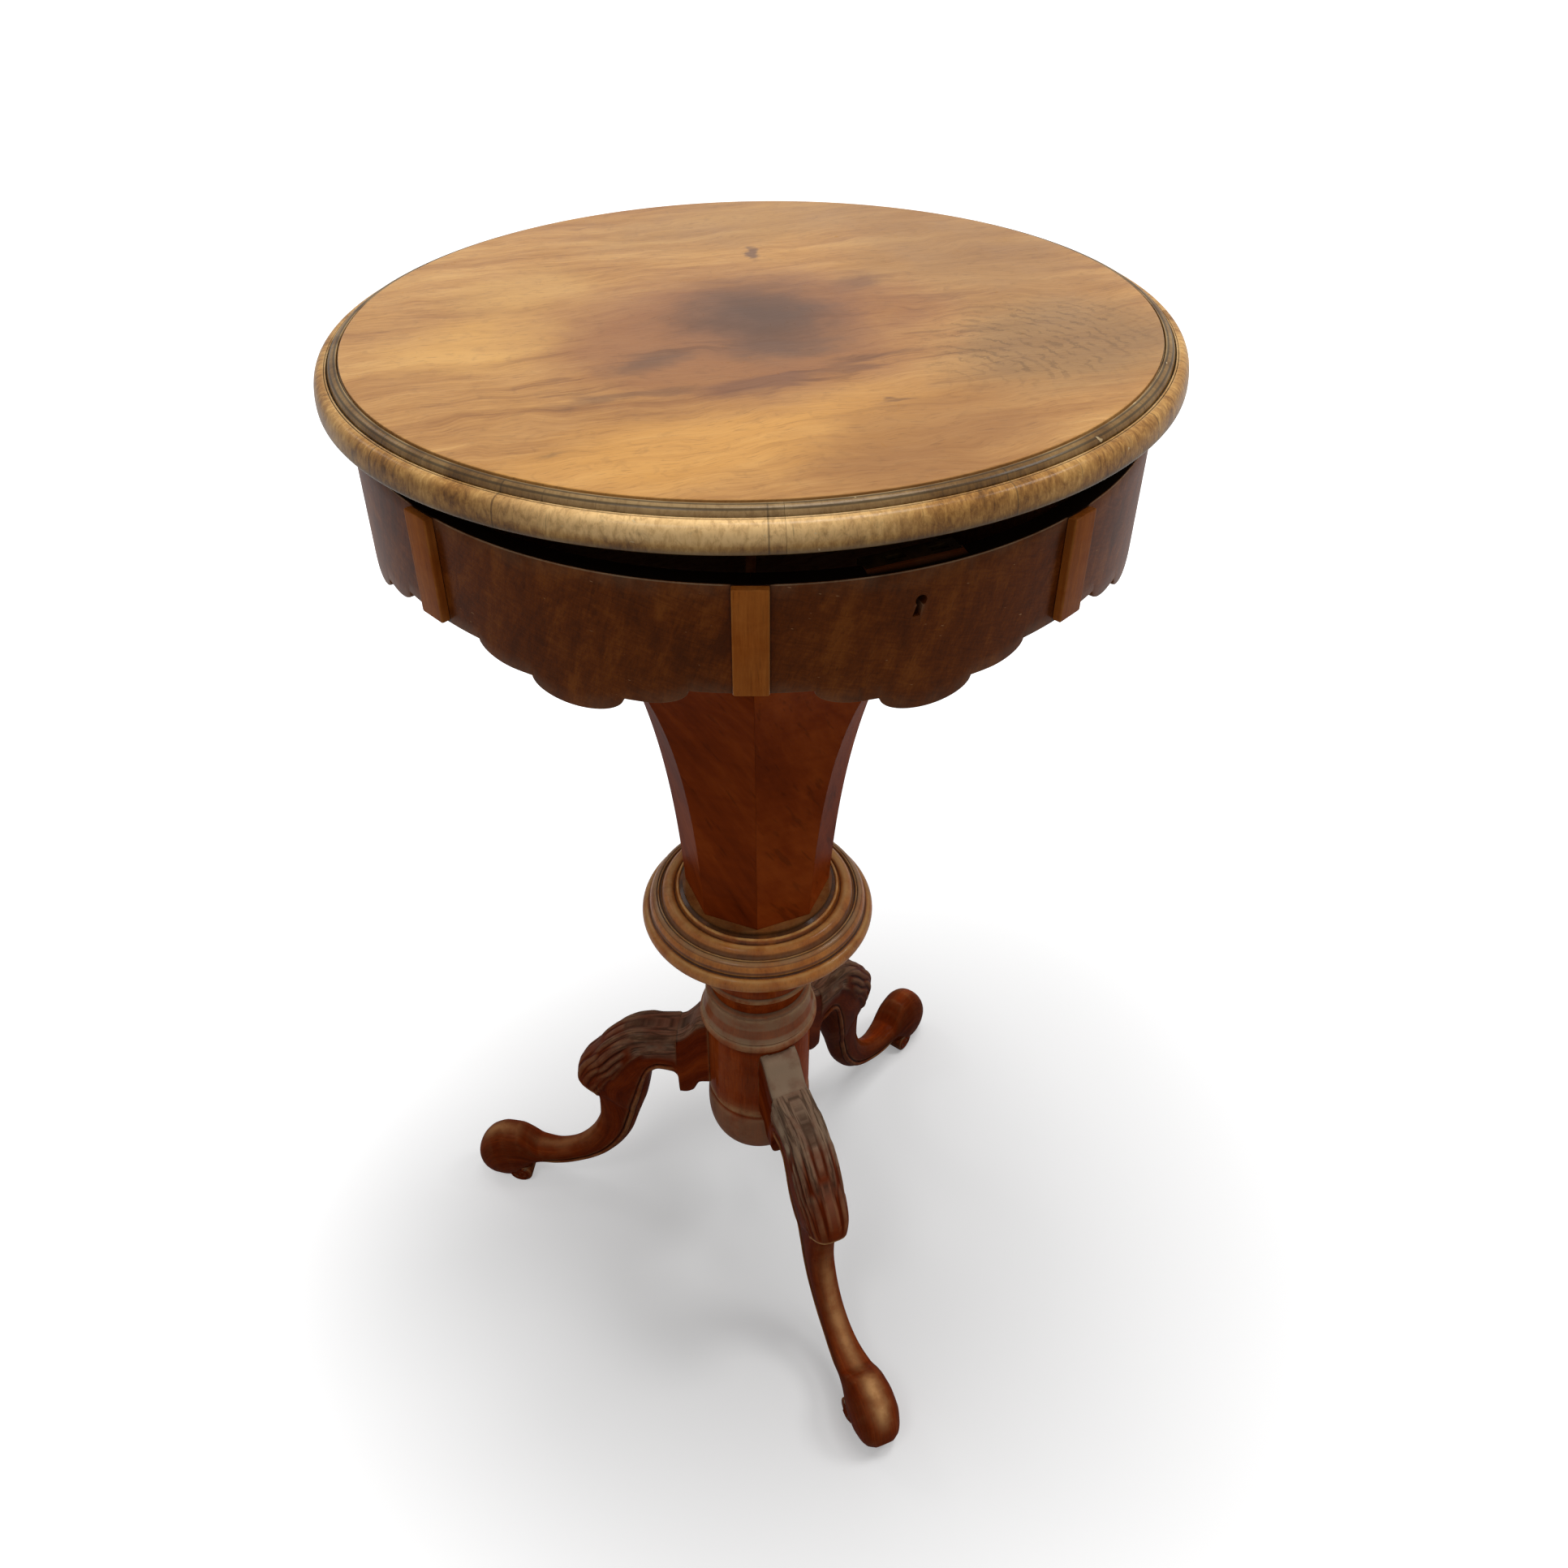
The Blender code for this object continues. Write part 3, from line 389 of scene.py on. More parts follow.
@dataclass(frozen=True)
class Walnut(Finish):
    """Old polished walnut with streaky grain, dirt and painted shade in its hollows, worn arrises with
    painted sheen, and painted light where a piece carries it.
    """

    name: str
    deep: Colour
    middle: Colour
    pale: Colour
    grain: Grain = Grain.UPRIGHT
    lean: float = 0.0  # angle of the figure off the grain
    ripple: float = 0.10  # strength of the cross figure
    swirl: float = 0.8  # how far the broad figure wanders
    specks: float = 0.0  # strength of small pale specks
    fineness: float = 1.0
    shade_and_grime: float = 0.85  # dirt and painted shade in the hollows
    wear_and_sheen: float = 0.55  # bare wood and painted sheen on the ridges
    dust: float = 0.0  # dust where the piece carries it, with painted sheen on some pieces
    rub: float = 0.0  # painted highlights with bare wood where a piece carries the mark; black painted shade, with some dirt, where that is below 0
    dust_and_sheen_colour: Colour = (146, 120, 98)
    worn_and_lit_colour: Colour = (176, 122, 70)
    roughness: float = 0.36
    wax: float = 0.30
    film: float = 1.2  # refractive index of the wax
    stretch: float = 1.0  # how short the streaks are

    def span(self, across: float, along: float) -> Triple:
        """Scale of noise that has so many features per metre across and along the grain."""
        wide, long = across * self.fineness, along * self.fineness * self.stretch
        return (wide, long, 0.0) if self.grain is Grain.FLOW else (wide, wide, long)

    def paint(self, p: Paint) -> None:
        """Draw grain, figure, dirt and painted shade, wear and painted sheen, painted light, and dust.

        Args:
            p: the material's tree.
        """
        flow = self.grain is Grain.FLOW
        tilt = (0.0, 0.0, self.lean) if flow else (0.0, self.lean, 0.0)
        plank = p.times(p.mark("plank"), 3.7)
        wood = p.mapped(p.flow() if flow else p.place, (1.0, 1.0, 1.0), turn=tilt)
        wood = p.vector("ADD", wood, p.combine(plank, plank, plank))
        broad = p.noise(wood, self.span(30.0, 6.0), 4.0, 0.5, self.swirl)
        streak = p.noise(wood, self.span(150.0, 12.0), 5.0, 0.62, 0.4 * self.swirl)
        fine = p.noise(wood, self.span(800.0, 60.0), 3.0, 0.6)
        cross = p.noise(wood, self.span(90.0, 130.0), 3.0, 0.5, 1.6)
        tone = p.blend((0.44, broad), (0.36, streak), (0.20, fine))
        tone = p.math("MULTIPLY_ADD", p.math("SUBTRACT", cross, 0.5), self.ripple, tone)
        colour = p.ramp(tone, [(0.38, self.deep), (0.50, self.middle), (0.62, self.pale)])

        pores = p.smooth(p.noise(wood, self.span(1300.0, 70.0), 2.0), 0.58, 0.70)
        colour = p.mix(p.times(pores, 0.28), colour, (26, 12, 6))
        if self.specks:
            flecks = p.smooth(p.noise(wood, self.span(230.0, 230.0), 1.0), 0.76, 0.81)
            colour = p.mix(p.times(flecks, self.specks), colour, (190, 142, 100))

        cloud = p.noise(p.place, (70.0, 70.0, 70.0), 4.0, 0.6)
        # Dirt and painted shade in the hollows
        dirt_and_shade = p.smooth(cloud, 0.25, 0.55, 0.55 * self.shade_and_grime, self.shade_and_grime)
        dirt_and_shade = p.times(p.mark("hollow"), dirt_and_shade)
        # Wear and painted sheen on the ridges
        rubbed = p.smooth(cloud, 0.35, 0.65, 0.25 * self.wear_and_sheen, self.wear_and_sheen)
        rubbed = p.times(p.mark("ridge"), rubbed)
        colour = p.mix(dirt_and_shade, colour, (18, 9, 5))
        colour = p.mix(rubbed, colour, self.worn_and_lit_colour)
        rough = p.math("ADD", p.blend((0.18, cloud), (0.10, fine)), self.roughness - 0.14)
        rough = p.math("MULTIPLY_ADD", dirt_and_shade, 0.25, rough)
        # Painted highlights with bare wood where the piece carries the mark; below -0.2 black painted shade,
        # with some dirt
        if self.rub:
            lit_and_bare = p.times(p.mark("rub"), p.smooth(cloud, 0.30, 0.62, 0.5 * self.rub, self.rub))
            colour = p.mix(lit_and_bare, colour, self.worn_and_lit_colour)
            colour = p.mix(p.smooth(p.mark("rub"), -0.2, -0.9), colour, (20, 11, 6))
        # Dust where the piece carries it, with painted sheen on some pieces
        if self.dust:
            lies = p.smooth(cloud, 0.30, 0.60, 0.6 * self.dust, self.dust)
            lies = p.times(p.mark("dust"), lies)
            colour = p.mix(lies, colour, self.dust_and_sheen_colour)
            if flow:
                cuts = p.smooth(p.noise(wood, self.span(520.0, 42.0), 4.0, 0.65, 0.5), 0.44, 0.62)
                cuts = p.times(cuts, p.smooth(p.mark("dust"), 0.86, 0.76, 0.0, 0.65))
                cuts = p.times(cuts, p.smooth(p.mark("dust"), 0.05, 0.30))
                colour = p.mix(cuts, colour, (44, 26, 16))
            rough = p.math("MULTIPLY_ADD", lies, 0.12, rough)
        p.surface(colour, rough, p.blend((0.5, streak), (0.5, fine)), 0.00020, 0.0, self.wax,
                  self.roughness, self.film)


@dataclass(frozen=True)
class Patch:
    """A soft oval patch of another tone in the lid's veneer."""

    centre: Pair
    radii: Pair
    colour: Colour
    share: float
    turn: float = 0.0
    core: float = 0.3  # share of the oval that has the full tone


@dataclass(frozen=True)
class FiguredTop(Finish):
    """The lid's veneer: golden walnut with a dark cloud, a feather of crotch figure and small knots."""

    name: str = "figured_top_veneer"
    grain_turn: float = radians(7.0)
    feather_centre: Pair = (0.044, -0.098)
    feather_step: float = 0.0072
    roughness: float = 0.36
    patches: tuple[Patch, ...] = (
        Patch((-0.095, 0.100), (0.060, 0.042), (206, 158, 92), 0.55, 0.3),
        Patch((-0.128, 0.034), (0.066, 0.050), (220, 167, 92), 0.55),
        Patch((-0.060, -0.118), (0.150, 0.048), (220, 160, 80), 0.55),
        Patch((0.060, 0.160), (0.150, 0.060), (164, 124, 78), 0.50),
        Patch((0.145, 0.060), (0.090, 0.130), (154, 114, 71), 0.60),
        Patch((0.012, -0.150), (0.100, 0.062), (146, 98, 55), 0.62, 0.45),
        Patch((0.122, -0.078), (0.090, 0.072), (142, 108, 70), 0.75, 0.4, 0.35),
        Patch((-0.012, 0.000), (0.128, 0.112), (148, 97, 61), 0.82, 0.0, 0.45),
        Patch((0.004, 0.010), (0.074, 0.082), (120, 80, 57), 0.74, 0.0, 0.15),
        Patch((0.004, 0.016), (0.050, 0.066), (86, 62, 48), 0.84, 0.1, 0.10),
        Patch((-0.004, -0.030), (0.042, 0.026), (94, 70, 58), 0.62, -0.1, 0.10),
        Patch((-0.064, -0.020), (0.032, 0.017), (98, 72, 56), 0.66, 0.2, 0.05),
        Patch((0.070, 0.040), (0.032, 0.018), (112, 76, 56), 0.60, 0.5, 0.05),
        Patch((-0.030, -0.066), (0.040, 0.014), (112, 74, 56), 0.65, 0.0, 0.3),
        Patch((-0.088, -0.055), (0.046, 0.009), (110, 74, 50), 0.55, -0.1, 0.3),
        Patch((0.026, -0.060), (0.046, 0.008), (112, 74, 50), 0.55, 0.1, 0.3),
        Patch((0.036, 0.107), (0.007, 0.017), (96, 68, 58), 0.75, -0.5, 0.4),
        Patch((0.016, -0.108), (0.012, 0.004), (110, 76, 48), 0.60, -0.4),
        Patch((-0.130, -0.098), (0.012, 0.005), (150, 112, 66), 0.60, 0.3))

    def paint(self, p: Paint) -> None:
        """Draw the sheet of veneer on the lid's plan.

        Args:
            p: the material's tree.
        """
        plan = p.mapped(p.place, (1.0, 1.0, 0.0))
        sway = p.math("MULTIPLY_ADD", p.noise(plan, (9.0, 11.0, 0.0), 3.0), 0.050, -0.025)
        wood = p.vector("ADD", plan, p.combine(0.0, sway, 0.0))
        wood = p.mapped(wood, (1.0, 1.0, 1.0), turn=(0.0, 0.0, self.grain_turn))
        broad = p.noise(wood, (5.0, 26.0, 0.0), 4.0, 0.5, 0.6)
        streak = p.noise(wood, (11.0, 105.0, 0.0), 5.0, 0.62, 0.5)
        fine = p.noise(wood, (60.0, 620.0, 0.0), 3.0, 0.6)
        tone = p.blend((0.45, broad), (0.36, streak), (0.19, fine))
        colour = p.ramp(tone, [(0.38, (156, 106, 57)), (0.47, (180, 129, 72)), (0.53, (193, 142, 82)),
                               (0.62, (208, 159, 96))])

        veer = p.math("MULTIPLY_ADD", p.noise(plan, (26.0, 26.0, 0.0), 4.0, 0.6), 0.060, -0.030)
        lift = p.math("MULTIPLY_ADD", p.noise(wood, (16.0, 60.0, 0.0), 4.0, 0.6), 0.044, -0.022)
        drift = p.vector("ADD", plan, p.combine(veer, lift, 0.0))
        for patch in self.patches:
            oval = p.spot(drift, patch.centre, patch.radii, patch.turn, patch.core)
            colour = p.mix(p.times(oval, patch.share), colour, patch.colour)
        darts = p.smooth(streak, 0.44, 0.36)
        near = p.spot(drift, (-0.020, -0.045), (0.190, 0.105), 0.0, 0.3)
        colour = p.mix(p.times(darts, p.times(near, 0.36)), colour, (96, 60, 36))
        colour = p.mix(p.times(self.feather(p, plan), 0.42), colour, (92, 64, 38))

        mottle = p.smooth(p.noise(plan, (120.0, 160.0, 0.0), 4.0, 0.6, 0.8), 0.52, 0.70)
        colour = p.mix(p.times(mottle, 0.16), colour, (108, 74, 44))
        pores = p.smooth(p.noise(wood, (110.0, 1200.0, 0.0), 2.0), 0.58, 0.70)
        colour = p.mix(p.times(pores, 0.30), colour, (92, 58, 32))
        haze = p.noise(plan, (24.0, 24.0, 0.0), 4.0, 0.6)
        scuffs = p.smooth(p.noise(plan, (420.0, 160.0, 0.0), 3.0, 0.6, 1.0), 0.66, 0.74)
        rough = p.math("MULTIPLY_ADD", haze, 0.20, self.roughness - 0.10)
        rough = p.math("MULTIPLY_ADD", scuffs, 0.15, rough)
        p.surface(colour, rough, p.blend((0.5, streak), (0.5, fine)), 0.00012, 0.10)

    def feather(self, p: Paint, plan: Socket) -> Socket:
        """Fine nested arcs of the crotch figure, as a share of dark wood.

        Args:
            p: the material's tree.
            plan: coordinates on the lid's plan.

        Returns:
            1 on a dark line, 0 between the lines and off the figure.
        """
        bent = p.noise(plan, (75.0, 75.0, 0.0), 5.0, 0.65, 1.2)
        offset = p.mapped(plan, (1.0, 1.0, 0.0), (-self.feather_centre[0], -self.feather_centre[1], 0.0))
        rings = p.times(p.length(offset), 2 * pi / self.feather_step)
        phase = p.math("MULTIPLY_ADD", bent, 15.0, rings)
        lines = p.smooth(p.math("SINE", phase), 0.15, 0.95)
        broken = p.smooth(p.noise(plan, (95.0, 95.0, 0.0), 3.0, 0.6), 0.36, 0.60)
        area = p.spot(plan, (0.112, -0.070), (0.082, 0.062), 0.35, 0.45)
        return p.times(p.times(lines, broken), area)


@dataclass(frozen=True)
class CrossGrain(Finish):
    """The lid's moulding: short cross-grain lengths, grey on the ovolo and tan on the nose."""

    name: str = "cross_grain_moulding"
    radius: float = LAYOUT.lid_radius
    joints: tuple[float, ...] = (-71.6, -51.1, -20.4, 7.6, 34.0, 52.0, 93.0, 121.0, 158.0, -104.0, -139.0)
    start: float = -18.6  # angle where the moulding's coordinates start
    upper: float = 0.0082  # length of the section's upper members
    scores: tuple[float, ...] = (0.0024, 0.0052, 0.0096)
    roughness: float = 0.20

    def paint(self, p: Paint) -> None:
        """Draw lines across the moulding, joints, a painted highlight on the front, painted shade under the
        nose, dirt and painted shade in the quirks, and wear and painted sheen on the ridges.

        Args:
            p: the material's tree.
        """
        flow = p.flow()
        along, across, _ = p.split(flow)
        lines = p.noise(flow, (900.0, 160.0, 0.0), 3.0, 0.6, 0.6)
        bands = p.noise(flow, (330.0, 190.0, 0.0), 5.0, 0.70, 0.5)
        patch = p.noise(flow, (26.0, 22.0, 0.0), 4.0, 0.55, 0.5)
        tone = p.blend((0.16, lines), (0.40, bands), (0.44, patch))
        colour = p.ramp(tone, [(0.38, (104, 66, 28)), (0.47, (158, 109, 52)), (0.54, (190, 140, 74)),
                               (0.62, (222, 174, 104))])
        # Painted highlight on the front of the moulding
        front = p.spot(p.place, (-0.104, -0.172), (0.112, 0.062), -0.48, 0.20)
        front = p.times(front, p.smooth(across, 0.0245, 0.0205))
        colour = p.mix(p.times(front, p.smooth(bands, 0.34, 0.60, 0.50, 0.96)), colour, (255, 212, 148))
        above = p.smooth(across, self.upper + 0.0006, self.upper - 0.0006)
        colour = p.mix(p.times(above, 0.72), colour, (78, 58, 33))
        # Painted shade on the underside of the nose
        under = p.smooth(across, 0.0225, 0.0290)
        colour = p.mix(p.times(under, 0.90), colour, (36, 20, 10))
        for at in self.scores:
            score = p.times(p.line(across, at, 0.0008), p.smooth(patch, 0.35, 0.60, 0.65, 0.95))
            colour = p.mix(score, colour, (26, 16, 9))
        stain = p.smooth(p.noise(flow, (60.0, 70.0, 0.0), 5.0, 0.70, 0.6), 0.54, 0.72)
        colour = p.mix(p.times(stain, 0.45), colour, (74, 50, 27))
        for degrees in self.joints:
            seam = p.line(along, self.radius * radians((degrees - self.start) % 360.0 + self.start), 0.0006)
            colour = p.mix(p.times(seam, 0.55), colour, (34, 22, 13))
        ticks = p.smooth(p.noise(flow, (420.0, 34.0, 0.0), 2.0, 0.5), 0.66, 0.72)
        colour = p.mix(p.times(ticks, 0.40), colour, (58, 38, 22))
        # Dirt and painted shade in the quirks
        colour = p.mix(p.times(p.mark("hollow"), 0.92), colour, (20, 13, 8))
        # Wear and painted sheen on the ridges
        rubbed = p.times(p.mark("ridge"), p.smooth(patch, 0.38, 0.62, 0.15, 0.6))
        colour = p.mix(rubbed, colour, (204, 172, 122))
        chips = p.smooth(p.noise(flow, (150.0, 230.0, 0.0), 2.0, 0.5, 0.6), 0.72, 0.76)
        colour = p.mix(p.times(chips, 0.7), colour, (220, 194, 148))
        rough = p.math("ADD", p.blend((0.16, patch), (0.08, lines)), self.roughness - 0.12)
        p.surface(colour, rough, p.blend((0.4, lines), (0.6, bands)), 0.00018, 0.0, 0.28, self.roughness)


@dataclass(frozen=True)
class LiningPaper(Finish):
    """Old lining paper with fibres, foxing and a faint watered pattern."""

    name: str
    sheet: Colour
    shade: Colour

    def paint(self, p: Paint) -> None:
        """Draw the sheet, its brown spots and its worn ground.

        Args:
            p: the material's tree.
        """
        fibre = p.noise(p.place, (900.0, 900.0, 900.0), 3.0, 0.7)
        water = p.noise(p.place, (60.0, 190.0, 60.0), 3.0, 0.5, 2.5)
        stain = p.noise(p.place, (14.0, 14.0, 14.0), 4.0, 0.6)
        tone = p.blend((0.25, fibre), (0.40, water), (0.35, stain))
        colour = p.ramp(tone, [(0.38, self.shade), (0.60, self.sheet)])
        foxing = p.smooth(p.noise(p.place, (210.0, 210.0, 210.0), 2.0), 0.70, 0.80)
        colour = p.mix(p.times(foxing, 0.5), colour, (132, 84, 50))
        rough = p.math("MULTIPLY_ADD", fibre, 0.12, 0.78)
        p.surface(colour, rough, p.blend((0.6, fibre), (0.4, water)), 0.00012, 0.2)


@dataclass(frozen=True)
class OldMetal(Finish):
    """Worn metal with tarnish in patches and fine rubbing lines."""

    name: str
    bright: Colour
    tarnish: Colour
    roughness: float = 0.32

    def paint(self, p: Paint) -> None:
        """Draw the bright ground, its tarnish and its scratches.

        Args:
            p: the material's tree.
        """
        patch = p.noise(p.place, (90.0, 90.0, 90.0), 3.0)
        scratch = p.noise(p.place, (300.0, 2600.0, 2600.0), 2.0)
        colour = p.ramp(p.blend((0.7, patch), (0.3, scratch)), [(0.30, self.tarnish), (0.60, self.bright)])
        rough = p.math("ADD", p.blend((0.34, patch), (0.14, scratch)), self.roughness - 0.2)
        p.shader.inputs["Metallic"].default_value = 1.0
        p.surface(colour, rough, scratch, 0.00004)


TOP_VENEER = FiguredTop()
RIM_WOOD = CrossGrain()
APRON_WOOD = Walnut(
    "dark_apron_walnut", (86, 40, 12), (111, 54, 17), (136, 74, 27), Grain.FLOW, 0.30, 0.22, 1.6, 0.7,
    rub=0.9, worn_and_lit_colour=(190, 158, 124), roughness=0.30, stretch=3.2)
PILASTER_WOOD = Walnut(
    "pale_pilaster_walnut", (138, 68, 20), (166, 88, 28), (192, 110, 42),
    worn_and_lit_colour=(196, 132, 66), roughness=0.34)
STEM_WOOD = Walnut(
    "red_stem_walnut", (112, 42, 11), (143, 58, 16), (172, 79, 27), Grain.FLOW, -0.12, 0.08, 0.9,
    roughness=0.24, worn_and_lit_colour=(160, 84, 40), wax=0.08)
COLLAR_WOOD = Walnut(
    "golden_turned_walnut", (152, 79, 25), (184, 102, 36), (212, 129, 53), dust=0.75, ripple=0.05,
    fineness=0.7, wear_and_sheen=0.80, dust_and_sheen_colour=(150, 124, 98), rub=0.9, worn_and_lit_colour=(240, 186, 110),
    roughness=0.12, film=1.4)
COLUMN_WOOD = Walnut(
    "red_turned_walnut", (122, 45, 9), (147, 57, 14), (170, 75, 24), dust=0.80, wax=0.12,
    dust_and_sheen_colour=(170, 142, 112), worn_and_lit_colour=(214, 170, 120), wear_and_sheen=0.9, roughness=0.08)
LEG_WOOD = Walnut(
    "carved_leg_walnut", (93, 29, 5), (117, 41, 8), (144, 59, 17), Grain.FLOW, dust=0.95, rub=0.85,
    dust_and_sheen_colour=(176, 152, 126), worn_and_lit_colour=(238, 184, 122), roughness=0.10, wax=0.07, wear_and_sheen=0.25)
DIVIDER_WOOD = Walnut("tray_edge_walnut", (72, 38, 18), (98, 57, 31), (124, 79, 47), roughness=0.45)
# Lining paper darkened as painted shade, so that the tray seen through the gap under the lid looks dark
SHADED_TRAY_PAPER = LiningPaper("tray_lining_paper_painted_shade", (150, 114, 88), (120, 86, 64))
LID_PAPER = LiningPaper("lid_lining_sheet", (212, 184, 162), (184, 152, 130))
BRASS = OldMetal("old_brass_metal", (196, 152, 84), (104, 76, 40))
# The lock's brass darkened as painted shade, where it shows in the gap under the lid
SHADED_LOCK_BRASS = OldMetal("lock_brass_painted_shade", (92, 68, 38), (34, 25, 15), 0.40)
STEEL = OldMetal("screw_steel", (128, 122, 114), (58, 50, 44), 0.38)


def add_object(name: str, data: bpy.types.ID) -> Object:
    """Put a new object into the scene.

    Args:
        name: name of the object.
        data: its mesh, lamp or camera.

    Returns:
        The object.
    """
    made = bpy.data.objects.new(name, data)
    bpy.context.scene.collection.objects.link(made)
    return made


@dataclass
class Skin:
    """Points and faces of one piece, with the values that its finish reads at each point."""

    points: Array
    faces: list[tuple[int, ...]]
    marks: dict[str, Array] = field(default_factory=dict)

    @classmethod
    def loft(cls, loops: Array, closed: bool = False) -> "Skin":
        """Bridge equal closed loops of points.

        Args:
            loops: array of loops, points and coordinates.
            closed: the last loop joins the first; otherwise both ends are capped.

        Returns:
            The skin.
        """
        rows, count = loops.shape[:2]
        faces = []
        for i in range(rows if closed else rows - 1):
            low = i * count
            high = (i + 1) % rows * count
            for j in range(count):
                k = (j + 1) % count
                faces.append((low + j, low + k, high + k, high + j))
        if not closed:
            faces.append(tuple(range(count)))
            faces.append(tuple(range((rows - 1) * count, rows * count)))
        return cls(loops.reshape(-1, 3), faces)

    @classmethod
    def lathe(cls, profile: Profile, steps: int) -> "Skin":
        """Turn a closed profile about Z.

        Args:
            profile: its radii and heights.
            steps: number of sides.

        Returns:
            The skin.
        """
        shape = np.array(profile)
        angles = 2 * pi * np.arange(steps) / steps
        loops = np.stack([np.outer(np.cos(angles), shape[:, 0]), np.outer(np.sin(angles), shape[:, 0]),
                          np.tile(shape[:, 1], (steps, 1))], axis=-1)
        return cls.loft(loops, closed=True)

    @classmethod
    def block(cls, low: tuple, high: tuple) -> "Skin":
        """A plain tool between two corners."""
        ring = [(low[0], low[1]), (high[0], low[1]), (high[0], high[1]), (low[0], high[1])]
        return cls.prism(ring, low[2], high[2])

    @classmethod
    def prism(cls, outline: Profile, low: float, high: float) -> "Skin":
        """A plan drawn up along Z."""
        return cls.loft(np.array([[(x, y, z) for x, y in outline] for z in (low, high)]))

    def piece(self, name: str, place: Matrix, crease: float = radians(35)) -> Object:
        """Make an object whose place is in its mesh.

        Args:
            name: name of the piece.
            place: where the points go.
            crease: angle past which an edge stays sharp.

        Returns:
            The object, at the origin.
        """
        mesh = bpy.data.meshes.new(name)
        mesh.from_pydata(self.points.tolist(), [], self.faces)
        for key, values in self.marks.items():
            kind, slot = ("FLOAT_VECTOR", "vector") if values.ndim == 2 else ("FLOAT", "value")
            mesh.attributes.new(key, kind, "POINT").data.foreach_set(slot, values.astype(np.float32).ravel())
        mesh.transform(place)
        bm = bmesh.new()
        bm.from_mesh(mesh)
        bmesh.ops.remove_doubles(bm, verts=bm.verts, dist=1e-6)
        bmesh.ops.recalc_face_normals(bm, faces=bm.faces)
        bm.to_mesh(mesh)
        bm.free()
        made = add_object(name, mesh)
        soften(mesh, crease)
        return made


def soften(mesh: Mesh, crease: float = radians(35)) -> None:
    """Shade a mesh smooth but for its sharp arrises."""
    mesh.shade_smooth()
    mesh.set_sharp_from_angle(angle=crease)


def scatter(name: str, spots: list[tuple[Vector, Vector]]) -> Object:
    """Make an object that is only points, each with the way it faces.

    Args:
        name: name of the object.
        spots: place and facing of each point.

    Returns:
        The object, at the origin.
    """
    mesh = bpy.data.meshes.new(name)
    mesh.from_pydata([place for place, _ in spots], [], [])
    facing = mesh.attributes.new("facing", "FLOAT_VECTOR", "POINT")
    facing.data.foreach_set("vector", np.ravel([way for _, way in spots]))
    return add_object(name, mesh)


def plain(obj: Object) -> None:
    """Turn an object's modifiers into its mesh.

    Args:
        obj: the object.
    """
    depsgraph = bpy.context.evaluated_depsgraph_get()
    mesh = bpy.data.meshes.new_from_object(obj.evaluated_get(depsgraph))
    obj.modifiers.clear()
    old = obj.data
    obj.data = mesh
    bpy.data.meshes.remove(old)
    mesh.name = obj.name


def carve(obj: Object, tools: Tools, place: Matrix) -> None:
    """Cut tools out of a piece, or join them on, in their order.

    Args:
        obj: the piece.
        tools: each tool with what it does.
        place: where the tools' points go.
    """
    helpers = []
    for skin, action in tools:
        tool = skin.piece(f"{obj.name}_tool", place)
        step = obj.modifiers.new("carve", "BOOLEAN")
        step.operation = action.value
        step.solver = "EXACT"
        step.object = tool
        helpers.append(tool)
    plain(obj)
    for tool in helpers:
        mesh = tool.data
        bpy.data.objects.remove(tool)
        bpy.data.meshes.remove(mesh)
    soften(obj.data)


def read(mesh: Mesh, key: str) -> Array:
    """Read a vector of each point of a mesh.

    Args:
        mesh: the mesh.
        key: what is read, such as co or normal.

    Returns:
        One row for each point.
    """
    values = np.empty(len(mesh.vertices) * 3)
    mesh.vertices.foreach_get(key, values)
    return values.reshape(-1, 3)


def store(mesh: Mesh, key: str, values: Array) -> None:
    """Keep a number for each point of a mesh under a name."""
    layer = mesh.attributes.get(key) or mesh.attributes.new(key, "FLOAT", "POINT")
    layer.data.foreach_set("value", values.astype(np.float32))


def mark_relief(mesh: Mesh, full: float, rounds: int = 1) -> None:
    """Store how hollow and how ridged a mesh is at each point.

    Args:
        mesh: the mesh.
        full: curvature in 1/m that counts as 1.
        rounds: how often the values are evened out with their neighbours.
    """
    points, normals = read(mesh, "co"), read(mesh, "normal")
    count = len(points)
    edges = np.empty(len(mesh.edges) * 2, dtype=np.int64)
    mesh.edges.foreach_get("vertices", edges)
    start, end = edges.reshape(-1, 2).T
    step = points[end] - points[start]
    length = np.maximum((step ** 2).sum(1), 1e-12)
    near = 2 * (step * normals[start]).sum(1) / length
    far = -2 * (step * normals[end]).sum(1) / length
    meets = np.maximum(np.bincount(start, minlength=count) + np.bincount(end, minlength=count), 1)
    bend = (np.bincount(start, near, count) + np.bincount(end, far, count)) / meets
    bend = np.clip(bend, -4 * full, 4 * full)
    for _ in range(rounds):
        around = (np.bincount(start, bend[end], count) + np.bincount(end, bend[start], count)) / meets
        bend = 0.5 * bend + 0.5 * around
    for key, values in (("hollow", bend), ("ridge", -bend)):
        store(mesh, key, np.clip(values / full, 0.0, 1.0))


def mark_dust_and_sheen(mesh: Mesh, bands: tuple[Triple, ...], fallen: float) -> None:
    """Store how much dust lies on each point, by how far it faces up and by its height; some bands also stand
    for painted highlights.

    Args:
        mesh: the mesh.
        bands: lowest height, highest height and share of each band.
        fallen: share of dust on faces that look up.
    """
    height = read(mesh, "co")[:, 2]
    share = fallen * smoothstep(read(mesh, "normal")[:, 2], 0.30, 0.90)
    for low, high, amount in bands:
        lies = smoothstep(height, low - 0.001, low + 0.001) * smoothstep(height, high + 0.001, high - 0.001)
        share = np.maximum(share, amount * lies)
    store(mesh, "dust", share)


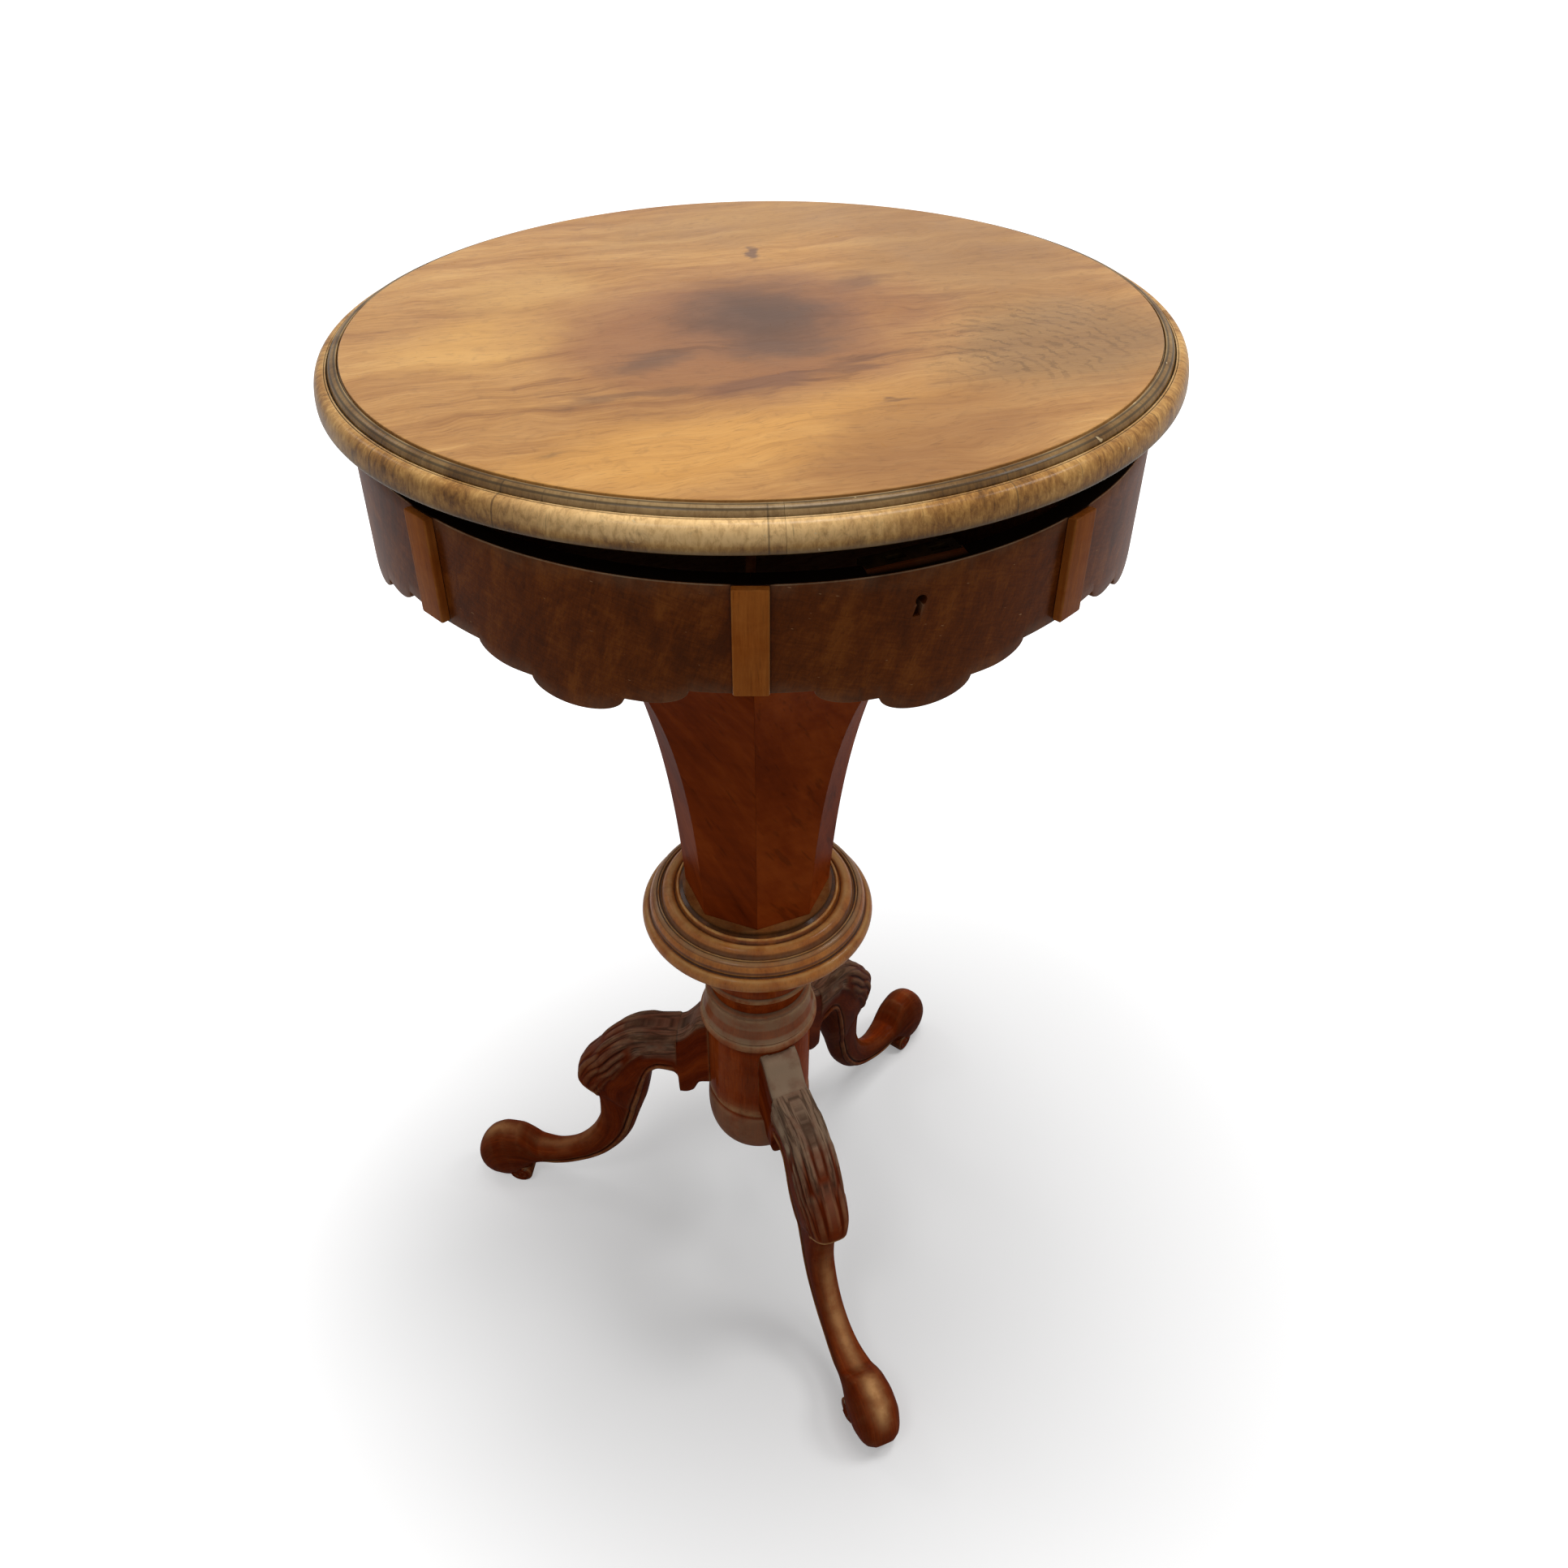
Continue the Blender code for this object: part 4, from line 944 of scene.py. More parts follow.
def mark_rings(mesh: Mesh, rings: tuple[Triple, ...]) -> None:
    """Store painted highlights and painted shade on a turning, by the distance from its axis.

    Args:
        mesh: the mesh.
        rings: inner radius, outer radius and amount of each ring, below 0 for painted shade.
    """
    x, y, _ = read(mesh, "co").T
    reach = np.hypot(x, y - LAYOUT.axis_y)
    rub = np.zeros_like(reach)
    for inner, outer, amount in rings:
        soft = (outer - inner) / 3
        inside = smoothstep(reach, inner - soft, inner + soft)
        rub += amount * inside * smoothstep(reach, outer + soft, outer - soft)
    store(mesh, "rub", rub)


def dress(obj: Object, finish: Finish, body: Body, slot: str, *nodes: str) -> None:
    """Give a piece its finish, its body, and the nodes it stands for.

    Args:
        obj: the piece.
        finish: what it is made of.
        body: what it moves with.
        slot: not used.
        nodes: CAD nodes that it replaces.
    """
    obj.data.materials.clear()
    obj.data.materials.append(finish.material())
    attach(obj, body.value)
    if nodes:
        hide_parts(*nodes)
    obj.data.calc_loop_triangles()
    log.info("%s: %d triangles, rides on %s", obj.name, len(obj.data.loop_triangles), body.value)


def dress_node(name: str, finish: Finish) -> None:
    """Give a CAD node that stays in view its finish.

    Args:
        name: name of the node.
        finish: what it is made of.
    """
    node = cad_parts[name]
    node.data.materials.clear()
    node.data.materials.append(finish.material())
    log.info("%s: frame's own shape", name)


def bend(start: tuple, control: tuple, end: tuple, steps: int = 12) -> Profile:
    """Points of a quadratic curve, both ends included."""
    return [tuple((1 - t) ** 2 * a + 2 * t * (1 - t) * b + t * t * c for a, b, c in zip(start, control, end))
            for t in (i / steps for i in range(steps + 1))]


def bead(radius: float, high: float, low: float, swell: float, steps: int = 14) -> Profile:
    """Draw a round bead on a turned face.

    Args:
        radius: radius of the face.
        high: height of the bead's top.
        low: height of its foot.
        swell: how far it stands out.
        steps: number of straight steps.

    Returns:
        Its points, from the top down.
    """
    middle = (high + low) / 2
    half = (high - low) / 2
    angles = [pi / 2 - pi * i / steps for i in range(steps + 1)]
    return [(radius + swell * cos(a), middle + half * sin(a)) for a in angles]


def scaled(shares: Profile, radii: Pair, heights: Pair) -> Profile:
    """Turn pairs of shares into radii and heights between two limits each."""
    (inner, outer), (low, high) = radii, heights
    return [(inner + (outer - inner) * r, low + (high - low) * z) for r, z in shares]


def front_ray(radius: Array | float, angle: Array | float, z: Array | float) -> Array:
    """Points at an angle from the front, counted towards +X."""
    x, y, height = np.broadcast_arrays(radius * np.sin(angle), -radius * np.cos(angle), z)
    return np.stack([x, y, height], axis=-1)


def smoothstep(value: Array, low: float, high: float) -> Array:
    """Ease values from 0 at low to 1 at high."""
    share = np.clip((value - low) / (high - low), 0.0, 1.0)
    return share * share * (3 - 2 * share)


@dataclass
class Lid:
    """Veneered board, eight lengths of moulding and the lining under it."""

    quirk: float = 0.0009
    sink: float = 0.0007
    ovolo_width: float = 0.0047
    ovolo_drop: float = 0.0035
    nose_rise: float = 0.0026
    nose_under: float = 0.0022
    joint: float = radians(-18.6)
    joint_gap: float = 0.00012
    board_steps: int = 256
    rim_steps: int = 48
    hinge_centre: float = 0.028
    hinge_length: float = 0.028
    leaf_reach: float = 0.0133
    leaf_thickness: float = 0.0012
    knuckle_radius: float = 0.0026
    strike_x: float = -0.0065
    strike_width: float = 0.044
    strike_depth: float = 0.009
    strike_thickness: float = 0.0016
    bolt_y: float = -0.1871

    def build(self) -> None:
        """Make and dress every piece of the lid."""
        self.build_board()
        for index in range(LAYOUT.sides):
            self.build_moulding(index)
        dress_node("lid_lining", LID_PAPER)

    def hinge_beds(self, leaf: Pair, knuckle: Pair) -> Tools:
        """Tools for the two hinges.

        Args:
            leaf: lowest and highest height of the leaves' beds.
            knuckle: lowest and highest height of the knuckles' beds.

        Returns:
            The tools, all of them cuts.
        """
        gap, back = LAYOUT.clear, LAYOUT.hinge_y
        half = self.hinge_length / 2 + gap
        tools = []
        for middle in (-self.hinge_centre, self.hinge_centre):
            left, right = middle - half, middle + half
            bed = Skin.block((left, back - self.leaf_reach - gap, leaf[0]), (right, back, leaf[1]))
            barrel = Skin.block((left, back - self.knuckle_radius - 4 * gap, knuckle[0]),
                                (right, back + self.knuckle_room, knuckle[1]))
            tools += [(bed, Carve.CUT), (barrel, Carve.CUT)]
        return tools

    @property
    def knuckle_room(self) -> float:
        """Radius of the room that a knuckle turns in."""
        return self.knuckle_radius + 2 * LAYOUT.clear

    def recesses(self) -> Tools:
        """Tools for the hinges in board and moulding."""
        low, gap = LAYOUT.lid_foot - LAYOUT.past, LAYOUT.clear
        return self.hinge_beds((low, LAYOUT.lid_foot + self.leaf_thickness + gap),
                               (low - gap, LAYOUT.hinge_z + self.knuckle_room))

    def build_board(self) -> None:
        """The round board, let in for the strike plate and the hinge leaves."""
        radius = LAYOUT.board_radius - LAYOUT.clear / 2
        ease = 0.0005
        angles = 2 * pi * np.arange(self.board_steps) / self.board_steps
        levels = [(radius, LAYOUT.lid_foot), (radius, LAYOUT.lid_top - ease)]
        levels += bend(levels[-1], (radius, LAYOUT.lid_top), (radius - ease, LAYOUT.lid_top), 4)[1:]
        levels.append((radius - 3 * ease, LAYOUT.lid_top))
        board = Skin.loft(np.array([front_ray(r, angles, z) for r, z in levels]))
        obj = board.piece("lid_board", LAYOUT.lid_place())
        half = self.strike_width / 2 + LAYOUT.clear
        deep = self.strike_depth / 2 + LAYOUT.clear
        low, high = LAYOUT.lid_foot - LAYOUT.past, LAYOUT.lid_foot + self.strike_thickness + LAYOUT.clear
        strike = Skin.block((self.strike_x - half, self.bolt_y - deep, low),
                            (self.strike_x + half, self.bolt_y + deep, high))
        carve(obj, [(strike, Carve.CUT), *self.recesses()], LAYOUT.lid_place())
        dress(obj, TOP_VENEER, Body.LID, "walnut_top", "lid_panel")

    def profile(self) -> Profile:
        """Draw the section of the moulding.

        Returns:
            Radii and heights, from the board outwards and back underneath.
        """
        q, inner = self.quirk, LAYOUT.board_radius
        high = LAYOUT.lid_top - self.sink
        start = inner + q
        end = start + self.ovolo_width
        low = high - self.ovolo_drop
        outer = LAYOUT.lid_radius
        fillet = end + 1.6 * q
        points = [(inner, high - 1.1 * q), (inner + 0.4 * q, high - 1.2 * q),
                  (start - 0.2 * q, high - 0.6 * q)]
        points += bend((start, high - 0.05 * q), (end - q, high), (end, low), 12)
        points += [(end, low - 0.9 * q), (end + 0.35 * q, low - 1.1 * q)]
        points += bead_over(end + 0.6 * q, fillet, low - 0.55 * q, 0.5 * q)
        points += [(fillet + 0.15 * q, low - 0.75 * q)]
        points += bend((fillet + 0.4 * q, low - 0.35 * q), (outer, low),
                       (outer, LAYOUT.lid_foot + self.nose_rise), 22)
        points += bend((outer, LAYOUT.lid_foot + self.nose_rise), (outer, LAYOUT.lid_foot),
                       (outer - self.nose_under, LAYOUT.lid_foot), 6)[1:]
        return points + [(inner, LAYOUT.lid_foot)]

    def build_moulding(self, index: int) -> None:
        """Make one length of moulding, with coordinates that follow it.

        Args:
            index: which of the eight.
        """
        shape = np.array(self.profile())
        trim = self.joint_gap / 2 / LAYOUT.board_radius
        first = self.joint + index * 2 * LAYOUT.half_step
        angles = np.linspace(first + trim, first + 2 * LAYOUT.half_step - trim, self.rim_steps + 1)
        loops = np.array([front_ray(shape[:, 0], a, shape[:, 1]) for a in angles])
        skin = Skin.loft(loops)
        travel = np.concatenate([[0.0], np.cumsum(np.hypot(*np.diff(shape, axis=0).T))])
        along = np.repeat(angles * LAYOUT.lid_radius, len(shape))
        skin.marks["flow"] = np.stack([along, np.tile(travel, len(angles)), np.zeros(len(along))], axis=-1)
        obj = skin.piece(f"lid_moulding_{index + 1}", LAYOUT.lid_place())
        spread = asin((self.hinge_centre + self.hinge_length) / LAYOUT.board_radius)
        if first < pi + spread and first + 2 * LAYOUT.half_step > pi - spread:
            carve(obj, self.recesses(), LAYOUT.lid_place())
        mark_relief(obj.data, 500.0)
        dress(obj, RIM_WOOD, Body.LID, "walnut_rim", f"lid_rim_{index + 1}")


def bead_over(start: float, end: float, base: float, rise: float, steps: int = 6) -> Profile:
    """A small round fillet that rises over a moulding between two radii."""
    angles = [pi * i / steps for i in range(steps + 1)]
    return [((start + end) / 2 - (end - start) / 2 * cos(a), base + rise * sin(a)) for a in angles]


@dataclass
class Drum:
    """Eight bowed and scalloped apron panels with pilaster strips over their joints."""

    shoulder_depth: float = 0.0541
    hollow_drop: float = 0.0085
    lobe_drop: float = 0.0095
    hollow_span: float = radians(6.0)
    step_span: float = radians(2.4)
    lobe_span: float = radians(6.4)
    ease: float = 0.0007
    joint_gap: float = 0.00016
    pilaster_width: float = 0.0156
    pilaster_proud: float = 0.0041
    pilaster_length: float = 0.0524
    keyhole_x: float = -0.0065
    keyhole_radius: float = 0.0026
    keyhole_slot: float = 0.0034
    keyhole_height: float = 0.0100
    keyhole_depth: float = 0.0155
    lock_width: float = 0.044
    lock_height: float = 0.028
    lock_depth: float = 0.009
    lock_back: float = -0.1912
    keyhole_lean: float = -0.0020  # the worn slot's foot stands off to the left
    inner_rows: Pair = (0.012, 0.010)  # rows of the inner face, from the top and from the scallop
    # Angles from the panel's middle over which painted shade with dirt darkens the apron beside the
    # pilasters, and its strength
    shaded_ends: Pair = (radians(19.3), radians(20.4))
    dirt_and_shade: float = 1.7
    pilaster_soft: float = 0.0009

    def build(self) -> None:
        """Make and dress panels and pilasters."""
        for index in range(LAYOUT.sides):
            self.build_panel(index)
        self.build_pilasters()

    def edge_height(self, angle: float) -> float:
        """Find the height of the scalloped edge.

        Args:
            angle: angle from the panel's middle.

        Returns:
            The height.
        """
        shoulder = LAYOUT.drum_top - self.shoulder_depth
        step = shoulder - self.hollow_drop
        off = abs(angle)
        if off < self.lobe_span:
            return step - self.lobe_drop * sqrt(1 - (off / self.lobe_span) ** 2)
        if off < self.lobe_span + self.step_span:
            return step
        share = (off - self.lobe_span - self.step_span) / self.hollow_span
        return step + self.hollow_drop * (1 - sqrt(1 - share ** 2)) if share < 1 else shoulder

    def columns(self) -> list[float]:
        """Place one panel's columns, closer where the edge is steep.

        Returns:
            Angles from the panel's middle.
        """
        end = LAYOUT.half_step - self.joint_gap / 2 / LAYOUT.drum_inner
        step = self.lobe_span + self.step_span
        rise = step + self.hollow_span
        curve = [sin(pi / 2 * i / 16) for i in range(16)]
        half = [self.lobe_span * share for share in curve]
        half += [self.lobe_span + self.step_span * i / 4 for i in range(4)]
        half += [step + self.hollow_span * share for share in curve]
        half += [rise + (end - rise) * i / 14 for i in range(15)]
        return [-a for a in reversed(half[1:])] + half

    def build_panel(self, index: int) -> None:
        """Make one panel; the front one takes the lock, the back one the hinges.

        Args:
            index: which of the eight.
        """
        outer, inner, top, ease = LAYOUT.drum_radius, LAYOUT.drum_inner, LAYOUT.drum_top, self.ease
        arris = 0.3 * ease
        upper, lower = self.inner_rows
        loops, flow = [], []
        middle = 2 * LAYOUT.half_step * index
        for angle in self.columns():
            low = self.edge_height(angle)
            heights = np.linspace(low + ease, top - ease, 9)
            ring = [(outer - ease, low), (outer - arris, low + arris)] + [(outer, z) for z in heights]
            ring += [(outer - arris, top - arris), (outer - ease, top), (inner + ease, top),
                     (inner, top - ease), (inner, top - upper), (inner, low + lower), (inner, low + ease),
                     (inner + ease, low)]
            shape = np.array(ring)
            loops.append(front_ray(shape[:, 0], angle, shape[:, 1]))
            flow += [(outer * (angle + middle), z, 0.0) for _, z in ring]
        skin = Skin.loft(np.array(loops))
        skin.marks["flow"] = np.array(flow)
        skin.marks["plank"] = np.full(len(flow), float(index))
        rows = len(flow) // len(loops)
        # A pale line on the upper arris is wear with a painted highlight; painted shade darkens the top face,
        # and painted shade with dirt the apron beside the pilasters
        edge = np.zeros(rows)
        edge[11], edge[12:14] = 1.0, -1.0
        ends = smoothstep(np.abs(self.columns()), *self.shaded_ends)
        skin.marks["rub"] = np.minimum(np.tile(edge, len(loops)), 1.0 - self.dirt_and_shade * np.repeat(ends, rows))
        place = LAYOUT.table_place(middle)
        obj = skin.piece(f"apron_{index + 1}", place)
        tools = self.lock_tools() if index == 0 else self.hinge_tools() if index == LAYOUT.sides // 2 else []
        if tools:
            carve(obj, tools, LAYOUT.table_place())
        mark_relief(obj.data, 900.0)
        dress(obj, APRON_WOOD, Body.TABLE, "walnut_dark", f"apron_panel_{index + 1}")

    def lock_tools(self) -> Tools:
        """Shape the lock's pocket, and the keyhole's head and slot.

        Returns:
            Tools that cut.
        """
        gap, top, lean = LAYOUT.clear, LAYOUT.drum_top, self.keyhole_lean
        half = self.lock_width / 2 + gap
        pocket = Skin.block((self.keyhole_x - half, self.lock_back - gap, top - self.lock_height - gap),
                            (self.keyhole_x + half, self.lock_back + self.lock_depth, top + LAYOUT.past))
        # Painted shade: the pocket's cut faces go black
        pocket.marks["rub"] = np.full(len(pocket.points), -1.0)
        centre = top - self.keyhole_depth
        front = -(LAYOUT.drum_radius + LAYOUT.past)
        angles = 2 * pi * np.arange(40) / 40
        x = self.keyhole_x + self.keyhole_radius * np.cos(angles)
        z = centre + self.keyhole_radius * np.sin(angles)
        deep = self.lock_back + self.lock_depth / 2
        head = Skin.loft(np.array([np.stack([x, np.full(40, y), z], axis=-1) for y in (front, deep)]))
        low = centre + self.keyhole_radius - self.keyhole_height
        slot_half = self.keyhole_slot / 2
        ring = [(self.keyhole_x - slot_half * 0.8, centre), (self.keyhole_x + slot_half * 0.8, centre),
                (self.keyhole_x + slot_half + lean, low), (self.keyhole_x - slot_half + lean, low)]
        slot = Skin.loft(np.array([[(a, y, b) for a, b in ring] for y in (front - gap, deep + gap)]))
        return [(pocket, Carve.CUT), (head, Carve.CUT), (slot, Carve.CUT)]

    def hinge_tools(self) -> Tools:
        """Beds of the two hinge leaves in the back panel."""
        lid, gap, high = Lid(), LAYOUT.clear, LAYOUT.drum_top + LAYOUT.past
        return lid.hinge_beds((LAYOUT.drum_top - lid.leaf_thickness - gap, high),
                              (LAYOUT.hinge_z - lid.knuckle_room, high + gap))

    def build_pilasters(self) -> None:
        """Eight strips with eased arrises, spread round the drum by a node tree."""
        back = LAYOUT.drum_radius + LAYOUT.clear / 2
        half = self.pilaster_width / 2
        face = LAYOUT.drum_radius + self.pilaster_proud
        soft = self.pilaster_soft
        spread = np.linspace(half, -half, 9)
        outline = [(x, -sqrt(back ** 2 - x ** 2)) for x in spread]
        outline += bend((-half, -face + soft), (-half, -face), (-half + soft, -face), 4)
        outline += bend((half - soft, -face), (half, -face), (half, -face + soft), 4)
        plan = np.array(outline)
        centre = np.array([0.0, -(LAYOUT.drum_radius + self.pilaster_proud / 2)])
        low, high = LAYOUT.drum_top - self.pilaster_length, LAYOUT.drum_top
        loops = []
        arris = 0.3 * soft
        for z, inset in ((low, soft), (low + arris, arris), (low + soft, 0.0), ((low + high) / 2, 0.0),
                         (high - soft, 0.0), (high - arris, arris), (high, soft)):
            shrink = 1 - inset / np.array([half, self.pilaster_proud / 2]) * np.array([1.0, 0.5])
            ring = centre + (plan - centre) * shrink
            loops.append(np.column_stack([ring, np.full(len(ring), z)]))
        strip = Skin.loft(np.array(loops)).piece("pilaster_pattern", Matrix.Identity(4))
        mark_relief(strip.data, 900.0)
        obj = Ring("pilaster_ring", LAYOUT.sides, LAYOUT.half_step).spread(strip, "pilasters", PILASTER_WOOD)
        nodes = [f"pilaster_{index + 1}" for index in range(LAYOUT.sides)]
        dress(obj, PILASTER_WOOD, Body.TABLE, "walnut_pale", *nodes)


class Shape(Graph):
    """Geometry node tree with named inputs that ends in realized, painted geometry."""

    def __init__(self, name: str, sizes: dict[str, float | int], takes_mesh: bool) -> None:
        """Start a tree.

        Args:
            name: name of the tree.
            sizes: its named inputs with their values.
            takes_mesh: whether the object's own mesh comes in.
        """
        super().__init__(bpy.data.node_groups.new(name, "GeometryNodeTree"))
        face = self.tree.interface
        self.sizes = sizes
        self.sockets: dict[str, str] = {}
        if takes_mesh:
            face.new_socket("Geometry", in_out="INPUT", socket_type="NodeSocketGeometry")
        for key, value in sizes.items():
            kind = "NodeSocketInt" if isinstance(value, int) else "NodeSocketFloat"
            self.sockets[key] = face.new_socket(key, in_out="INPUT", socket_type=kind).identifier
        self.sockets["Material"] = face.new_socket(
            "Material", in_out="INPUT", socket_type="NodeSocketMaterial").identifier
        face.new_socket("Geometry", in_out="OUTPUT", socket_type="NodeSocketGeometry")
        self.inputs = self.add("NodeGroupInput").outputs

    def stand(self, instance: Socket) -> Socket:
        """Stand a copy on each point that comes in, turned the way the point faces.

        Args:
            instance: what is copied.

        Returns:
            The copies.
        """
        faces = self.out("GeometryNodeInputNamedAttribute", {"Name": "facing"}, data_type="FLOAT_VECTOR")
        aim = self.out("FunctionNodeAlignRotationToVector", {"Vector": faces}, axis="Z")
        inputs = {"Points": self.inputs["Geometry"], "Instance": instance, "Rotation": aim}
        return self.out("GeometryNodeInstanceOnPoints", inputs)

    def end(self, geometry: Socket) -> None:
        """Realize the instances, set the material and lead them out.

        Args:
            geometry: what the tree made.
        """
        real = self.out("GeometryNodeRealizeInstances", {0: geometry})
        painted = self.out("GeometryNodeSetMaterial", {"Geometry": real, "Material": self.inputs["Material"]})
        self.add("NodeGroupOutput", {0: painted})

    def grow(self, obj: Object, finish: Finish) -> Object:
        """Run the tree on an object and keep the result as its plain mesh.

        Args:
            obj: the object whose mesh comes in, or an empty one.
            finish: what the result is made of.

        Returns:
            The same object.
        """
        step = obj.modifiers.new("grow", "NODES")
        step.node_group = self.tree
        for key, value in self.sizes.items():
            step[self.sockets[key]] = value
        step[self.sockets["Material"]] = finish.material()
        plain(obj)
        soften(obj.data)
        return obj


@dataclass
class Ring:
    """Spreads copies of one piece round the table's axis."""

    name: str
    count: int
    start: float

    def spread(self, pattern: Object, name: str, finish: Finish) -> Object:
        """Make one mesh of all copies.

        Args:
            pattern: the piece at the front, round the axis; it becomes the result.
            name: name of the result.
            finish: what the copies are made of.

        Returns:
            The object with every copy.
        """
        shape = Shape(self.name, {"Count": self.count, "Start": self.start, "Axis Y": LAYOUT.axis_y}, True)
        points = shape.out("GeometryNodePoints", {"Count": shape.inputs["Count"]})
        index = shape.out("GeometryNodeInputIndex")
        step = shape.math("DIVIDE", 2 * pi, shape.inputs["Count"])
        turn = shape.math("MULTIPLY_ADD", index, step, shape.inputs["Start"])
        spin = shape.combine(0.0, 0.0, turn)
        copies = shape.out("GeometryNodeInstanceOnPoints",
                           {"Points": points, "Instance": shape.inputs["Geometry"], "Rotation": spin})
        numbered = shape.out(
            "GeometryNodeStoreNamedAttribute", {"Geometry": copies, "Name": "plank", "Value": index},
            data_type="FLOAT", domain="INSTANCE")
        axis = shape.combine(0.0, shape.inputs["Axis Y"], 0.0)
        shape.end(shape.out("GeometryNodeTransform", {"Geometry": numbered, "Translation": axis}))
        pattern.name = name
        return shape.grow(pattern, finish)


@dataclass
class TrumpetStem:
    """Eight mitred staves whose outline grows as an exponential flare."""

    flare_length: float = 0.092
    wall: float = 0.009
    joint_gap: float = 0.00012
    columns: int = 7
    levels: int = 72

    def build(self) -> None:
        """Grow one stave, spread it round the axis and dress the stem."""
        obj = add_object("stave_pattern", bpy.data.meshes.new("stave_pattern"))
        self.stave_tree().grow(obj, STEM_WOOD)
        obj = Ring("stave_ring", LAYOUT.sides, 0.0).spread(obj, "trumpet_stem", STEM_WOOD)
        nodes = [f"trumpet_stave_{index + 1}" for index in range(LAYOUT.sides)]
        dress(obj, STEM_WOOD, Body.TABLE, "walnut_red", *nodes)
        dress_node("well_floor", SHADED_TRAY_PAPER)

    def stave_tree(self) -> Shape:
        """Bend a divided block into one stave, with coordinates that follow it.

        Returns:
            The tree.
        """
        sizes = {"Foot Radius": LAYOUT.stem_foot_radius, "Top Radius": LAYOUT.stem_top_radius,
                 "Height": LAYOUT.stem_height, "Foot": LAYOUT.stem_foot, "Flare Length": self.flare_length,
                 "Wall": self.wall, "Joint Gap": self.joint_gap, "Sides": LAYOUT.sides,
                 "Columns": self.columns, "Levels": self.levels}
        s = Shape("flared_stave", sizes, False)
        put = s.inputs
        counts = {"Vertices X": put["Columns"], "Vertices Y": 2, "Vertices Z": put["Levels"]}
        block = s.out("GeometryNodeMeshCube", {"Size": (1.0, 1.0, 1.0), **counts})
        x, y, z = s.split(s.out("GeometryNodeInputPosition"))
        height = s.times(s.math("ADD", z, 0.5), put["Height"])
        rise = s.math("EXPONENT", s.math("DIVIDE", height, put["Flare Length"]))
        full = s.math("EXPONENT", s.math("DIVIDE", put["Height"], put["Flare Length"]))
        growth = s.math("DIVIDE", s.math("SUBTRACT", put["Top Radius"], put["Foot Radius"]),
                        s.math("SUBTRACT", full, 1.0))
        outer = s.math("MULTIPLY_ADD", growth, s.math("SUBTRACT", rise, 1.0), put["Foot Radius"])
        slope = s.math("DIVIDE", s.times(growth, rise), put["Flare Length"])
        slant = s.math("SQRT", s.math("MULTIPLY_ADD", slope, slope, 1.0))
        wall = s.times(put["Wall"], slant)
        radius = s.math("SUBTRACT", outer, s.times(s.math("ADD", y, 0.5), wall))
        half_turn = s.math("DIVIDE", pi, put["Sides"])
        half = s.times(radius, s.math("SINE", half_turn))
        half = s.math("SUBTRACT", half, s.math("DIVIDE", put["Joint Gap"], 2.0))
        across = s.times(s.times(x, 2.0), half)
        back = s.times(s.times(radius, -1.0), s.math("COSINE", half_turn))
        place = s.combine(across, back, s.math("ADD", put["Foot"], height))
        bent = s.out("GeometryNodeSetPosition", {"Geometry": block, "Position": place})
        run = s.times(outer, 0.6)
        along = s.combine(across, s.math("ADD", height, run), 0.0)
        s.end(s.out("GeometryNodeStoreNamedAttribute", {"Geometry": bent, "Name": "flow", "Value": along},
                    data_type="FLOAT_VECTOR", domain="POINT"))
        return s


